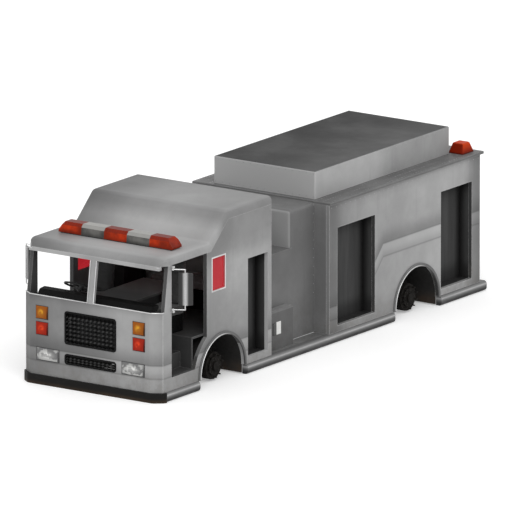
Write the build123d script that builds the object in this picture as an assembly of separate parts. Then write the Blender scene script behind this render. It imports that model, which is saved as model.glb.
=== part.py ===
from build123d import *
from math import cos, hypot, pi, radians, sin
import os

# Driving dimensions in millimetres. A station is a distance behind the front bumper's face.
bumper_proud = 20.0
cab_length = 2835.0
pump_length = 1482.0
body_length = 3896.0
step_depth = 127.0
body_width = 2420.0
rail_overhang = 40.0
rail_radius = 50.0
sill_height = 147.0
wall = 60.0
panel = 45.0
plate = 30.0
fit = 0.5
running_gap = 0.3

# Cab outline
corner_depth = 100.0
corner_width = 150.0
nose_radius = 110.0
bumper_radius = 75.0
belt_height = 1320.0
low_roof = 2118.0
high_roof = 2520.0
roof_skirt = 118.0
roof_skin = 45.0
roof_edge_radius = 70.0
visor_run = 120.0
slope_start = 1320.0
slope_run = 445.0
pillar_width = 100.0
pillar_foot = 30.0
pillar_lean = 100.0
roof_corner_width = 110.0
roof_corner_depth = 125.0
header_height = 55.0
floor_height = 800.0
step_run = 205.0
step_arch_gap = 90.0
pad_edge = 80.0
pad_behind_axle = 500.0
pad_run = 120.0

# Openings in the cab side
pillar_depth = 211.0
door_width = 889.0
door_sill = 335.0
door_arch_gap = 125.0
window_start = 1342.0
window_width = 358.0
window_sill = 1385.0
window_height = 520.0
cab_locker_width = 504.0
cab_locker_edge = 94.0

# Lockers
locker_sill = 243.0
locker_height = 1467.0
locker_depth = 160.0
locker_wall = 25.0
core_inset = 575.0
front_locker_edge = 204.0
front_locker_width = 965.0
rear_locker_edge = 213.0
rear_locker_width = 806.0

# Running gear
axle_to_cab_rear = 1255.0
wheelbase = 4980.0
axle_height = 230.0
arch_height = 160.0
arch_radius = 575.0
lip_width = 40.0
lip_proud = 22.0
liner = 15.0
liner_depth = 510.0
rail_offset = 395.0
rail_width = 80.0
rail_bottom = 400.0
rail_height = 240.0
rail_sheet = 12.0
kingpin_inset = 410.0
kingpin_radius = 20.0
hub_inset = 150.0
spindle_radius = 45.0
spindle_run = 20.0
spring_seat = 60.0
steer_arm = 160.0
steer_arm_half = 28.0
steer_arm_drop = 100.0
steer_pin = 12.0
drum_radius = 200.0
drum_depth = 150.0
pilot_radius = 140.0
pilot_length = 24.0
diff_nose = 340.0

# Engine and gearbox
engine_half = 320.0
engine_start = 600.0
engine_end = 1800.0
engine_top = 1230.0
engine_hole = 340.0
gearbox_length = 560.0
gearbox_half = 200.0
engine_lug = 100.0
cover_half = 375.0
cover_top = 1290.0
nose_cover_top = 1055.0
cover_skin = 25.0

# Pump module and rear body
board_width = 205.0
pump_bottom = 158.0
pump_top = 2090.0
tray_height = 1530.0
tray_length = 865.0
step_box_depth = 145.0
step_box_top = 730.0
step_box_length = 710.0
tray_radius = 55.0
step_lamp_edge = 205.0
step_lamp_width = 200.0
step_lamp_bottom = 370.0
step_lamp_height = 190.0
step_lamp_proud = 12.0
tank_overrun = 520.0
deck_height = 2115.0
deck_thickness = 40.0
deck_overhang = 75.0
deck_side_overhang = 15.0
box_side_gap = 315.0
box_length = 3470.0
box_front_gap = 83.0
box_height = 405.0

# Front fittings
grille_gap = 100.0
grille_bottom = 660.0
grille_height = 495.0
grille_radius = 45.0
low_grille_bottom = 360.0
low_grille_height = 160.0
lamp_edge = 105.0
lamp_width = 205.0
lamp_height = 187.0
amber_bottom = 980.0
red_bottom = 742.0
headlamp_edge = 110.0
headlamp_width = 395.0
headlamp_bottom = 365.0
headlamp_height = 183.0
lamp_proud = 18.0
tail_lamp_edge = 180.0
tail_lamp_side = 150.0
tail_lamp_bottom = 900.0

# Roof fittings
bar_side_gap = 210.0
bar_start = 640.0
bar_depth = 250.0
bar_height = 170.0
bar_foot = 14.0
bar_segments = 5
beacon_inset = 222.0
beacon_edge = 168.0
beacon_width = 264.0
beacon_length = 302.0
beacon_top_width = 184.0
beacon_top_length = 182.0
beacon_height = 150.0
beacon_round = 24.0

# Mirrors
mirror_pivot_proud = 35.0
mirror_reach = 175.0
mirror_pin = 8.0
mirror_head_width = 212.0
mirror_turn = 27.0
mirror_low = 1320.0
mirror_high = 1980.0
mirror_head_height = 475.0
mirror_head_depth = 50.0
mirror_tube = 9.0

# Seats and steering wheel
cover_seat_gap = 15.0
seat_half = 225.0
seat_base_inset = 35.0
seat_station = 720.0
seat_base = 250.0
cushion_height = 130.0
cushion_run = 520.0
seat_back_rise = 640.0
seat_back_lean = 80.0
seat_back_depth = 100.0
wheel_shift = 55.0
wheel_gap = 160.0
wheel_rise = 210.0
bench_back = 1050.0
bench_seat = 430.0
bench_run = 580.0
bench_gap = 10.0

# Places worked out from the driving dimensions
half = body_width / 2
inner = half - wall
cab_front = bumper_proud
corner = cab_front + corner_depth
cab_rear = cab_front + cab_length
pump_rear = cab_rear + pump_length
body_rear = pump_rear + body_length
length = body_rear + step_depth
slope_end = slope_start + slope_run
front_axle = cab_rear - axle_to_cab_rear
rear_axle = front_axle + wheelbase
kingpin_offset = half - kingpin_inset
hub_face = half - hub_inset
door_start = corner + pillar_depth
side_top = low_roof - roof_skirt
rear_top = high_roof - roof_skirt
rail_top = rail_bottom + rail_height
rail_inner = rail_offset - rail_width / 2
rail_outer = rail_offset + rail_width / 2
pump_half = inner - board_width
nose_flat = half - corner_width
grille_width = 2 * (nose_flat - headlamp_edge - headlamp_width - grille_gap)
bar_half = half - bar_side_gap
cushion_top = floor_height + seat_base + cushion_height
seat_offset = cover_half + cover_seat_gap + seat_half
deck_bottom = deck_height - deck_thickness
lip_inner = arch_radius - liner
lip_outer = lip_inner + lip_width
locker_inner = inner - locker_depth
core_half = inner - core_inset
axles = (front_axle, rear_axle)


# Shared makers
def box(x0, x1, s0, s1, z0, z1):
    centre = Pos((x0 + x1) / 2, (s0 + s1 - length) / 2, (z0 + z1) / 2)
    return centre * Box(x1 - x0, s1 - s0, z1 - z0)


def side_face(points):
    placed = [(s - length / 2, z) for s, z in points]
    return Plane.YZ * make_face(Polyline(*placed, close=True))


def slab(points, x0, x1):
    return Pos(x0, 0, 0) * extrude(side_face(points), amount=x1 - x0)


def disc(station, height, radius, x0, x1):
    face = Plane.YZ * Pos(station - length / 2, height) * Circle(radius)
    return Pos(x0, 0, 0) * extrude(face, amount=x1 - x0)


def post(x, station, radius, z0, z1):
    return Pos(x, station - length / 2, (z0 + z1) / 2) * Cylinder(radius, z1 - z0)


def plan_prism(points, z0, z1, bends=()):
    placed = [(x, s - length / 2) for x, s in points]
    outline = make_face(Polyline(*placed, close=True))
    for x, station, radius in bends:
        picked = [v for v in outline.vertices() if hypot(abs(v.X) - x, v.Y + length / 2 - station) < 1]
        outline = fillet(picked, radius)
    return Pos(0, 0, z0) * extrude(outline, amount=z1 - z0)


def flip(shape):
    return mirror(shape, about=Plane.YZ)


def pair(shape):
    return Compound(list(shape.solids()) + list(flip(shape).solids()))


def front_window(x0, x1, z0, z1, radius):
    face = Plane.XZ * Pos((x0 + x1) / 2, (z0 + z1) / 2) * RectangleRounded(x1 - x0, z1 - z0, radius)
    return face


def front_block(x0, x1, z0, z1, radius, s0, s1):
    block = extrude(front_window(x0, x1, z0, z1, radius), amount=-(s1 - s0))
    return Pos(0, s0 - length / 2, 0) * block


def arch_cut(station, radius, x0, x1, bottom):
    round_part = disc(station, arch_height, radius, x0, x1)
    legs = box(x0, x1, station - radius, station + radius, bottom - 1, arch_height)
    whole = round_part + legs
    return whole & box(x0, x1, station - 2 * radius, station + 2 * radius, bottom, arch_height + 2 * radius)


# Chassis
def frame_rails():
    rail = box(rail_inner, rail_outer, corner + plate, body_rear - 2 * wall, rail_bottom, rail_top)
    pocket_top = rail_top - rail_sheet
    rail -= box(rail_inner, rail_outer - rail_sheet, 0, length, rail_bottom + rail_sheet, pocket_top)
    frame = rail + flip(rail)
    member_depth = 60.0
    first = corner + plate
    last = body_rear - 2 * wall - member_depth
    spring_gap = 630.0
    gearbox_gap = 120.0
    stations = [first, engine_end + gearbox_length + gearbox_gap, cab_rear + spring_gap, pump_rear,
                rear_axle - spring_gap, rear_axle + spring_gap, last]
    for station in stations:
        frame += box(-rail_outer + 1, rail_outer - 1, station, station + member_depth,
                     pocket_top - member_depth, pocket_top)
    return frame


def leaf_spring(station):
    leaf = 16.0
    leaf_count = 5
    eye_run = 650.0
    step = 110.0
    top = axle_height + spring_seat + leaf * leaf_count
    spring = None
    for index in range(leaf_count):
        reach = eye_run - step * index
        layer = box(rail_inner + 2, rail_outer - 2, station - reach, station + reach,
                    top - leaf * (index + 1), top - leaf * index)
        spring = layer if spring is None else spring + layer
    hanger = 45.0
    for end in (-1, 1):
        middle = station + end * (eye_run - hanger / 2)
        spring += box(rail_inner + 2, rail_outer - 2, middle - hanger / 2, middle + hanger / 2,
                      top - leaf, rail_bottom)
    return spring


def leaf_springs():
    springs = []
    for station in axles:
        springs += list(pair(leaf_spring(station)).solids())
    return Compound(springs)


def front_axle_beam():
    boss_radius = 45.0
    boss_half = 55.0
    beam_half = 45.0
    drop = 60.0
    groove = 28.0
    groove_half = 25.0
    top = axle_height + spring_seat
    end = kingpin_offset
    seat = rail_outer + 45
    knee = rail_outer + 180
    upper = axle_height + beam_half
    lower = axle_height - beam_half
    points = [(end, upper), (knee, upper), (seat, top), (-seat, top), (-knee, upper), (-end, upper), (-end, lower),
              (-knee, lower), (-seat, axle_height - drop), (seat, axle_height - drop), (knee, lower), (end, lower)]
    outline = Plane.XZ * make_face(Polyline(*points, close=True))
    beam = Pos(0, front_axle - length / 2 + beam_half, 0) * extrude(outline, amount=2 * beam_half)
    for face in (-1, 1):
        middle = front_axle + face * beam_half
        beam -= box(-knee + groove, knee - groove, middle - groove, middle + groove,
                    axle_height - groove_half, axle_height + groove_half)
    for side in (-1, 1):
        beam += post(side * end, front_axle, boss_radius, axle_height - boss_half, axle_height + boss_half)
        beam += post(side * end, front_axle, kingpin_radius,
                     axle_height - steer_arm_drop, axle_height + steer_arm_drop)
    return beam


def knuckle():
    lug_radius = 48.0
    lug_gap = 60.0
    lug_height = steer_arm_drop - lug_gap
    web_in = 65.0
    web_out = 100.0
    web_half = 70.0
    arm_thick = 30.0
    low = axle_height - steer_arm_drop
    x0 = kingpin_offset
    pin_station = front_axle + steer_arm
    shape = box(x0 + web_in, x0 + web_out, front_axle - web_half, front_axle + web_half,
                low, axle_height + steer_arm_drop)
    for bottom in (low, axle_height + lug_gap):
        shape += post(x0, front_axle, lug_radius, bottom, bottom + lug_height)
        shape += box(x0, x0 + web_out, front_axle - lug_radius, front_axle + lug_radius, bottom, bottom + lug_height)
    shape += box(x0 - steer_arm_half, x0 + steer_arm_half, front_axle, pin_station + steer_arm_half,
                 low, low + arm_thick)
    shape += post(x0, pin_station, steer_pin, low, low + arm_thick + 42)
    shape -= post(x0, front_axle, kingpin_radius + running_gap, 0, 2 * axle_height)
    return shape + disc(front_axle, axle_height, spindle_radius, x0 + web_in, hub_face + spindle_run)


def tie_rod():
    eye_half = 26.0
    eye_height = 32.0
    tube_radius = 14.0
    low = axle_height - steer_arm_drop + 36
    station = front_axle + steer_arm
    tube = Rot(0, 90, 0) * Cylinder(tube_radius, 2 * kingpin_offset)
    rod = Pos(0, station - length / 2, low + eye_height / 2) * tube
    for side in (-1, 1):
        middle = side * kingpin_offset
        rod += box(middle - eye_half, middle + eye_half, station - eye_half, station + eye_half,
                   low, low + eye_height)
        rod -= post(middle, station, steer_pin + running_gap, low - 1, low + eye_height + 1)
    return rod


def hub(station):
    face = hub_face
    back = face - drum_depth
    bore = spindle_radius + running_gap
    bore_end = face + spindle_run + 12
    pilot = face + pilot_length
    cap = pilot + 32
    cap_radius = 70.0
    points = [(back, bore), (bore_end, bore), (bore_end, 0), (cap, 0), (cap, cap_radius), (pilot, cap_radius),
              (pilot, pilot_radius), (face, pilot_radius), (face, drum_radius), (back, drum_radius)]
    turned = revolve(Plane.XY * make_face(Polyline(*points, close=True)), axis=Axis.X)
    return Pos(0, station - length / 2, axle_height) * turned


def rear_axle_housing():
    tube = 60.0
    tube_end = hub_face - drum_depth - 25
    bowl_radius = 165.0
    bowl_half = 85.0
    tip_half = 75.0
    pad_half = 70.0
    housing = disc(rear_axle, axle_height, tube, -tube_end, tube_end)
    housing += disc(rear_axle, axle_height, spindle_radius, -hub_face - spindle_run, hub_face + spindle_run)
    housing += disc(rear_axle, axle_height, bowl_radius, -bowl_half, bowl_half)
    tip = rear_axle - diff_nose
    housing += slab([(rear_axle - tube, axle_height - 1.5 * tip_half), (rear_axle - tube, axle_height + 1.5 * tip_half),
                     (tip, axle_height + tip_half), (tip, axle_height - tip_half)], -tip_half, tip_half)
    pad = box(rail_inner + 2, rail_outer - 2, rear_axle - pad_half, rear_axle + pad_half,
              axle_height, axle_height + spring_seat)
    return housing + pad + flip(pad)


def engine():
    sump_gap = 30.0
    block_corner = 60.0
    gearbox_rise = 40.0
    lug_edge = 150.0
    lug_root = 20.0
    lug_thick = 30.0
    block = box(-engine_half, engine_half, engine_start, engine_end, rail_bottom + sump_gap, engine_top)
    block = chamfer(block.edges().filter_by(Axis.Y), block_corner)
    block += box(-gearbox_half, gearbox_half, engine_end, engine_end + gearbox_length,
                 rail_bottom, rail_top + gearbox_rise)
    for station in (engine_start + lug_edge, engine_end - lug_edge - engine_lug):
        lug = box(engine_half - lug_root, rail_outer - lug_root / 2, station, station + engine_lug,
                  rail_top, rail_top + lug_thick)
        block += lug + flip(lug)
    return block


def drive_shaft():
    flange = 24.0
    flange_radius = 75.0
    front = engine_end + gearbox_length
    back = rear_axle - diff_nose
    start = Vector(0, front + flange / 2 - length / 2, rail_bottom + 80)
    end = Vector(0, back - flange / 2 - length / 2, axle_height)
    shaft = Part() + Solid.make_cylinder(50, (end - start).length, Plane(start, z_dir=end - start))
    for middle in (start, end):
        shaft += Pos(middle) * Rot(90, 0, 0) * Cylinder(flange_radius, flange)
    return shaft


def radiator():
    radiator_half = engine_hole - 10
    bottom = rail_top - rail_sheet
    top = nose_cover_top - 35
    s0 = corner + plate
    core = box(-radiator_half, radiator_half, s0, s0 + 75, bottom, top)
    fin_count = 12
    rim = 40.0
    pitch = 2 * (radiator_half - rim) / fin_count
    for index in range(fin_count):
        left = -radiator_half + rim + index * pitch
        core -= box(left + pitch * 0.2, left + pitch * 0.8, s0 - 1, s0 + 15, bottom + rim, top - rim)
    return core


# Bumper, rub rails and rear step
def nose_plan(front, width, chamfer_x, back):
    return [(-width, back), (-width, corner), (-width + chamfer_x, front), (width - chamfer_x, front),
            (width, corner), (width, back)]


def front_bumper():
    outer_half = half + rail_overhang
    depth = 90.0
    back = corner + rail_overhang
    points = nose_plan(0, outer_half, corner_width, back)
    bends = [(outer_half, corner, bumper_radius), (outer_half - corner_width, 0, nose_radius)]
    bar = plan_prism(points, 0, sill_height, bends)
    hollow = plan_prism(nose_plan(depth, outer_half - 100, corner_width, back + 1), -1, sill_height + 1)
    return bar - hollow


def side_sills():
    runs = [(corner + rail_overhang, front_axle - lip_outer),
            (front_axle + lip_outer, rear_axle - lip_outer),
            (rear_axle + lip_outer, length)]
    solids = []
    for start, end in runs:
        run = box(inner, half + rail_overhang, start, end, 0, sill_height)
        outer_edges = run.edges().filter_by(Axis.Y).sort_by(Axis.X)[-2:]
        solids += list(pair(fillet(outer_edges, rail_radius)).solids())
    return Compound(solids)


def rear_step():
    tread = box(-inner, inner, body_rear, length, sill_height - plate, sill_height)
    kick = box(-inner, inner, body_rear, body_rear + plate, 40, sill_height)
    return tread + kick


# Cab shell
def roof_points(drop):
    return [(corner + visor_run, low_roof - drop), (slope_start, low_roof - drop),
            (slope_end, high_roof - drop), (cab_rear, high_roof - drop)]


def roof_height(station):
    if station < slope_start:
        return low_roof
    if station > slope_end:
        return high_roof
    return low_roof + (high_roof - low_roof) * (station - slope_start) / slope_run


def roof_corners():
    tip = half - roof_corner_width
    wedge = plan_prism([(tip, corner - 1), (half + 1, corner - 1), (half + 1, corner + roof_corner_depth)],
                       belt_height, high_roof)
    return wedge + flip(wedge)


def cab_roof():
    lower = list(reversed(roof_points(roof_skirt)))[:-1]
    outline = side_face([(corner, side_top)] + roof_points(0) + lower)
    bends = []
    for vertex in outline.vertices():
        station = vertex.Y + length / 2
        on_top = vertex.Z > roof_height(station) - roof_skirt / 2
        if on_top and corner < station < cab_rear - 1:
            bends.append(vertex)
    outline = fillet(bends, roof_edge_radius + 40)
    roof = Pos(-half, 0, 0) * extrude(outline, amount=body_width)
    rims = []
    for edge in roof.edges():
        middle = edge.center()
        station = middle.Y + length / 2
        on_side = abs(abs(middle.X) - half) < 0.01
        if on_side and corner + 1 < station < cab_rear - 1 and middle.Z > roof_height(station) - roof_skirt * 0.75:
            rims.append(edge)
    roof = fillet(rims, roof_edge_radius)
    pocket = roof_points(roof_skin) + list(reversed(roof_points(roof_skirt + 1)))
    pocket = [(min(s, cab_rear - plate), z) for s, z in pocket]
    return roof - slab(pocket, -inner, inner) - roof_corners()


def cab_side():
    foot = corner + pillar_foot
    outline = [(corner, sill_height), (cab_rear, sill_height), (cab_rear, rear_top), (slope_end, rear_top),
               (slope_start, side_top), (foot + pillar_lean, side_top), (foot, belt_height), (corner, belt_height)]
    side = slab(outline, inner, half)
    door = box(inner - 1, half + 1, door_start, door_start + door_width, door_sill, side_top + 1)
    door -= disc(front_axle, arch_height, arch_radius + door_arch_gap, inner - 2, half + 2)
    side -= door
    side -= arch_cut(front_axle, arch_radius, inner - 1, half + 1, 0)
    side -= box(inner - 1, half + 1, window_start, window_start + window_width,
                window_sill, window_sill + window_height)
    side -= box(inner - 1, half + 1, cab_rear - cab_locker_edge - cab_locker_width, cab_rear - cab_locker_edge,
                locker_sill, locker_sill + locker_height)
    return side


def nose_skin():
    run = hypot(corner_width, corner_depth)
    end_shift = panel * run / corner_depth
    knee = half - end_shift - (corner_depth - panel) * corner_width / corner_depth
    return [(-half, corner), (-nose_flat, cab_front), (nose_flat, cab_front), (half, corner),
            (half - end_shift, corner), (knee, cab_front + panel), (-knee, cab_front + panel),
            (-half + end_shift, corner)]


def lamp_sites():
    lamp_start = nose_flat - lamp_edge - lamp_width
    head_start = nose_flat - headlamp_edge - headlamp_width
    return [(lamp_start, amber_bottom, lamp_width, lamp_height),
            (lamp_start, red_bottom, lamp_width, lamp_height),
            (head_start, headlamp_bottom, headlamp_width, headlamp_height)]


def cab_front_panel():
    skin = plan_prism(nose_skin(), sill_height, belt_height, [(nose_flat, cab_front, nose_radius)])
    back = cab_front + panel + 1
    for bottom, height in ((grille_bottom, grille_height), (low_grille_bottom, low_grille_height)):
        skin -= front_block(-grille_width / 2, grille_width / 2, bottom, bottom + height, grille_radius, 0, back)
    for start, bottom, width, height in lamp_sites():
        hole = box(start, start + width, 0, back, bottom, bottom + height)
        skin -= hole + flip(hole)
    return skin


def windscreen_frame():
    depth = 50.0
    rake = corner_depth / (side_top - belt_height)

    def glass_line(height):
        return cab_front + rake * (height - belt_height)

    header_low = side_top - header_height
    post_points = [(glass_line(belt_height), belt_height), (corner, side_top), (corner + depth, side_top),
                   (glass_line(belt_height) + depth, belt_height)]
    header_points = [(glass_line(header_low), header_low), (corner, side_top), (corner + depth, side_top),
                     (corner + depth, header_low)]
    frame = slab(post_points, -pillar_width / 2, pillar_width / 2)
    frame += slab(header_points, -inner, inner)
    return frame - roof_corners()


def cab_rear_wall():
    back = box(-inner, inner, cab_rear - plate, cab_rear, sill_height, rear_top)
    return back - box(-core_half, core_half, cab_rear - plate - 1, cab_rear + 1, 0, rail_top)


def cab_locker_span():
    end = cab_rear - cab_locker_edge
    return end - cab_locker_width, end


def cab_floor():
    bottom = floor_height - plate
    floor = box(-inner, inner, corner, cab_rear - plate, bottom, floor_height)
    floor -= box(-engine_hole, engine_hole, corner - 1, engine_end + 40, 0, floor_height + 1)
    start, end = cab_locker_span()
    locker = box(locker_inner - locker_wall, inner + 1, start - locker_wall, end + locker_wall, 0, floor_height + 1)
    floor -= locker + flip(locker)
    tread = 25.0
    step_in = inner - 2 * step_run
    step_mid = inner - step_run
    mid_height = (door_sill + floor_height) / 2
    well_end = front_axle - arch_radius - liner - step_arch_gap
    well = box(step_in, inner + 1, door_start, well_end, 0, floor_height + 1)
    floor -= well + flip(well)
    steps = box(step_mid, inner, door_start, well_end, door_sill - tread, door_sill)
    steps += box(step_mid - tread, step_mid, door_start, well_end, door_sill - tread, mid_height)
    steps += box(step_in, step_mid, door_start, well_end, mid_height - tread, mid_height)
    steps += box(step_in - tread, step_in, door_start, well_end, mid_height - tread, floor_height)
    for end_start in (door_start - tread, well_end):
        steps += box(step_in - tread, inner, end_start, end_start + tread, door_sill - tread, floor_height)
    floor += steps + flip(steps)
    for station in (corner + pad_edge, front_axle + pad_behind_axle):
        pad = box(rail_inner, rail_outer, station, station + pad_run, rail_top, bottom)
        floor += pad + flip(pad)
    return floor


# Cab interior
def cover_outline(skin):
    front = cab_front + panel
    back = engine_end + 60
    return [(front, floor_height - skin), (front, nose_cover_top - skin), (engine_start - 120, nose_cover_top - skin),
            (engine_start - 40, cover_top - skin), (back - skin, cover_top - skin), (back - skin, floor_height - skin)]


def engine_cover():
    cover = slab(cover_outline(0), -cover_half, cover_half)
    hollow = slab(cover_outline(cover_skin), -cover_half + cover_skin, cover_half - cover_skin)
    cover -= hollow
    top_edges = []
    for edge in cover.edges().filter_by(Axis.Y):
        if abs(abs(edge.center().X) - cover_half) < 0.01 and edge.center().Z > floor_height + 1:
            top_edges.append(edge)
    return chamfer(top_edges, cover_skin * 0.8)


def dashboard():
    front = cab_front + panel
    top = belt_height - 15
    brow = 220.0
    lip = 275.0
    lip_drop = 130.0
    low = nose_cover_top
    points = [(front, top), (front + brow, top - lip_drop / 3), (front + lip, top - lip_drop),
              (front + brow * 0.7, low), (front, low)]
    run = hypot(corner_width, corner_depth)
    knee = half - panel * run / corner_depth - (corner_depth - panel) * corner_width / corner_depth
    return slab(points, 10 - knee, knee - 10)


def steering_wheel():
    rim_radius = 230.0
    grip = 16.0
    boss_radius = 55.0
    boss_height = 60.0
    column_radius = 28.0
    tilt = 25.0
    height = cushion_top + wheel_rise
    station = seat_station - wheel_gap
    offset = seat_offset - wheel_shift
    drop = height - floor_height - 30
    place = Pos(-offset, station - length / 2, height) * Rot(-tilt, 0, 0)
    section = Plane.XZ * Pos(rim_radius, 0) * RegularPolygon(grip, 6)
    wheel = place * revolve(section, axis=Axis.Z)
    wheel += place * Pos(0, 0, -boss_height / 3) * Cylinder(boss_radius, boss_height)
    for angle in (60, 180, 300):
        spoke = Pos(0, rim_radius / 2, -grip / 2) * Box(2 * grip, rim_radius, grip * 0.9)
        wheel += place * Rot(0, 0, angle) * spoke
    run = drop / cos(radians(tilt))
    wheel += place * Pos(0, 0, -run / 2) * Cylinder(column_radius, run)
    foot = station - drop * sin(radians(tilt)) / cos(radians(tilt))
    wheel += post(-offset, foot, 2 * column_radius, floor_height, floor_height + 2 * column_radius)
    return wheel


def front_seats():
    middle = seat_offset
    base_top = floor_height + seat_base
    base_half = seat_half - seat_base_inset
    sunk = 20.0
    pad_corner = 50.0
    seat = box(middle - base_half, middle + base_half, seat_station + seat_base_inset,
               seat_station + cushion_run - seat_base_inset, floor_height, base_top)
    pad = box(middle - seat_half, middle + seat_half, seat_station, seat_station + cushion_run, base_top, cushion_top)
    seat += chamfer(pad.edges().filter_by(Axis.Z), pad_corner)
    start = seat_station + cushion_run - seat_back_depth
    end = start + seat_back_depth
    back_top = cushion_top + seat_back_rise
    back = [(start, cushion_top - sunk), (end, cushion_top - sunk), (end + seat_back_lean, back_top), (end, back_top)]
    seat += slab(back, middle - seat_half + sunk, middle + seat_half - sunk)
    return pair(seat)


def crew_bench():
    back = cab_rear - plate
    reach = core_half - bench_gap
    seat_top = floor_height + bench_seat
    back_top = floor_height + bench_back
    cushion = 130.0
    points = [(back, floor_height), (back, back_top), (back - 110, back_top), (back - 170, seat_top),
              (back - bench_run + 20, seat_top), (back - bench_run, seat_top - cushion),
              (back - bench_run + 80, floor_height)]
    return slab(points, -reach, reach)


def side_windows():
    middle = half - wall / 2
    pane = box(middle - 6, middle + 6, window_start + fit, window_start + window_width - fit,
               window_sill + fit, window_sill + window_height - fit)
    return pair(pane)


# Arches
def wheel_wells():
    solids = []
    well_bottom = 20.0
    notch_top = 420.0
    reach_ahead = 150.0
    reach_behind = 260.0
    x0 = inner - liner_depth
    for station in axles:
        shell = arch_cut(station, arch_radius + liner, x0, inner, well_bottom)
        shell -= arch_cut(station, arch_radius, x0 + liner, inner + 1, 0)
        shell -= box(x0 - 1, x0 + liner + 1, station - reach_ahead, station + reach_behind, 0, notch_top)
        solids += list(pair(shell).solids())
    return Compound(solids)


def arch_lips():
    solids = []
    outer = half + lip_proud
    for station in axles:
        lip = arch_cut(station, lip_outer, half, outer, sill_height)
        lip -= arch_cut(station, lip_inner, half - 1, outer + 1, 0)
        solids += list(pair(lip).solids())
    return Compound(solids)


# Lockers
def locker_spans():
    front = pump_rear + front_locker_edge
    rear = body_rear - rear_locker_edge
    return [cab_locker_span(), (front, front + front_locker_width), (rear - rear_locker_width, rear)]


def locker_boxes():
    solids = []
    for start, end in locker_spans():
        w = locker_wall
        tub = box(locker_inner - w, inner, start - w, end + w, locker_sill - w, locker_sill + locker_height + w)
        tub -= box(locker_inner, inner + 1, start, end, locker_sill, locker_sill + locker_height)
        solids += list(pair(tub).solids())
    return Compound(solids)


# Pump module
def pump_module():
    tray_end = cab_rear + tray_length
    skin = plate
    side_points = [(cab_rear, pump_bottom), (pump_rear, pump_bottom), (pump_rear, pump_top), (tray_end, pump_top),
                   (tray_end, tray_height), (cab_rear, tray_height)]
    side = slab(side_points, pump_half - skin, pump_half)
    module = side + flip(side)
    span = pump_half - skin + 1
    module += box(-span, span, cab_rear, cab_rear + skin, rail_top, tray_height)
    module += box(-span, span, cab_rear, tray_end + skin, tray_height - skin, tray_height)
    module += box(-span, span, tray_end, tray_end + skin, tray_height - skin, pump_top)
    module += box(-span, span, tray_end, pump_rear, pump_top - skin, pump_top)
    module += box(-span, span, pump_rear - skin, pump_rear, rail_top, pump_top)
    rounded = []
    for edge in module.edges():
        middle = edge.center()
        at_side = abs(abs(middle.X) - pump_half) < 0.01
        at_tray = abs(middle.Y + length / 2 - tray_end) < 0.01
        at_top = abs(middle.Z - pump_top) < 0.01
        if middle.Z > tray_height + 1 and at_side + at_tray + at_top == 2:
            rounded.append(edge)
    return fillet(rounded, tray_radius)


def running_boards():
    board = box(pump_half, inner, cab_rear, pump_rear, sill_height - plate, sill_height)
    return pair(board)


def step_lamp_site():
    start = cab_rear + step_lamp_edge
    return start, start + step_lamp_width, step_lamp_bottom, step_lamp_bottom + step_lamp_height


def step_boxes():
    start = cab_rear + 15
    outer = pump_half + step_box_depth
    tub = box(pump_half, outer, start, start + step_box_length, sill_height, step_box_top)
    tub = chamfer(tub.edges().filter_by(Axis.Y).sort_by(Axis.Z)[-2:].sort_by(Axis.X)[-1], 25)
    tub -= box(pump_half - 1, outer - plate, start + plate, start + step_box_length - plate,
               sill_height + plate, step_box_top - plate)
    s0, s1, z0, z1 = step_lamp_site()
    tub -= box(outer - plate - 1, outer + 1, s0, s1, z0, z1)
    return pair(tub)


# Rear body
def body_side():
    side = box(inner, half, pump_rear, body_rear, sill_height, deck_bottom)
    side -= arch_cut(rear_axle, arch_radius, inner - 1, half + 1, 0)
    for start, end in locker_spans()[1:]:
        side -= box(inner - 1, half + 1, start, end, locker_sill, locker_sill + locker_height)
    return side


def body_end_walls():
    front = box(-inner, inner, pump_rear, pump_rear + plate, sill_height, deck_bottom)
    front -= box(-core_half, core_half, pump_rear - 1, pump_rear + plate + 1, 0, rail_top)
    rear = box(-inner, inner, body_rear - wall, body_rear, sill_height, deck_bottom)
    for start, bottom, width, height in tail_lamp_sites():
        hole = box(start, start + width, body_rear - wall - 1, body_rear + 1, bottom, bottom + height)
        rear -= hole + flip(hole)
    return Compound([front.solid(), rear.solid()])


def body_deck():
    reach = half + deck_side_overhang
    deck = box(-reach, reach, pump_rear, body_rear + deck_overhang, deck_bottom, deck_height)
    return chamfer(deck.faces().sort_by(Axis.Z)[-1].edges(), 8)


def water_tank():
    return box(-core_half, core_half, pump_rear + plate, rear_axle + tank_overrun, rail_top, deck_bottom)


def roof_box():
    start = pump_rear + box_front_gap
    top = deck_height + box_height
    reach = half - box_side_gap
    shell = box(-reach, reach, start, start + box_length, deck_height, top)
    shell = chamfer(shell.edges().filter_by(Axis.Z) + shell.faces().sort_by(Axis.Z)[-1].edges(), 10)
    skin = plate
    return shell - box(-reach + skin, reach - skin, start + skin, start + box_length - skin,
                       deck_height - 1, top - skin)


# Lamps and beacons
def lightbar_base():
    reach = bar_half - 30
    rim = 12.0
    return box(-reach, reach, bar_start + rim, bar_start + bar_depth - rim, low_roof, low_roof + bar_foot)


def lightbar_lens():
    bottom = low_roof + bar_foot
    top = low_roof + bar_height
    profile = [(bar_start, bottom), (bar_start + bar_depth, bottom), (bar_start + bar_depth - 10, top - 45),
               (bar_start + bar_depth - 50, top), (bar_start + 50, top), (bar_start + 10, top - 45)]
    lens = slab(profile, -bar_half, bar_half)
    taper = 90.0
    for side in (-1, 1):
        tip = side * bar_half
        corner_points = [(tip, top + 1), (tip - side * taper, top + 1), (tip + side, bottom + 30)]
        wedge = Plane.XZ * make_face(Polyline(*corner_points, close=True))
        lens -= Pos(0, bar_start - 1 - length / 2, 0) * extrude(wedge, amount=-(bar_depth + 2))
    return lens


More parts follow.
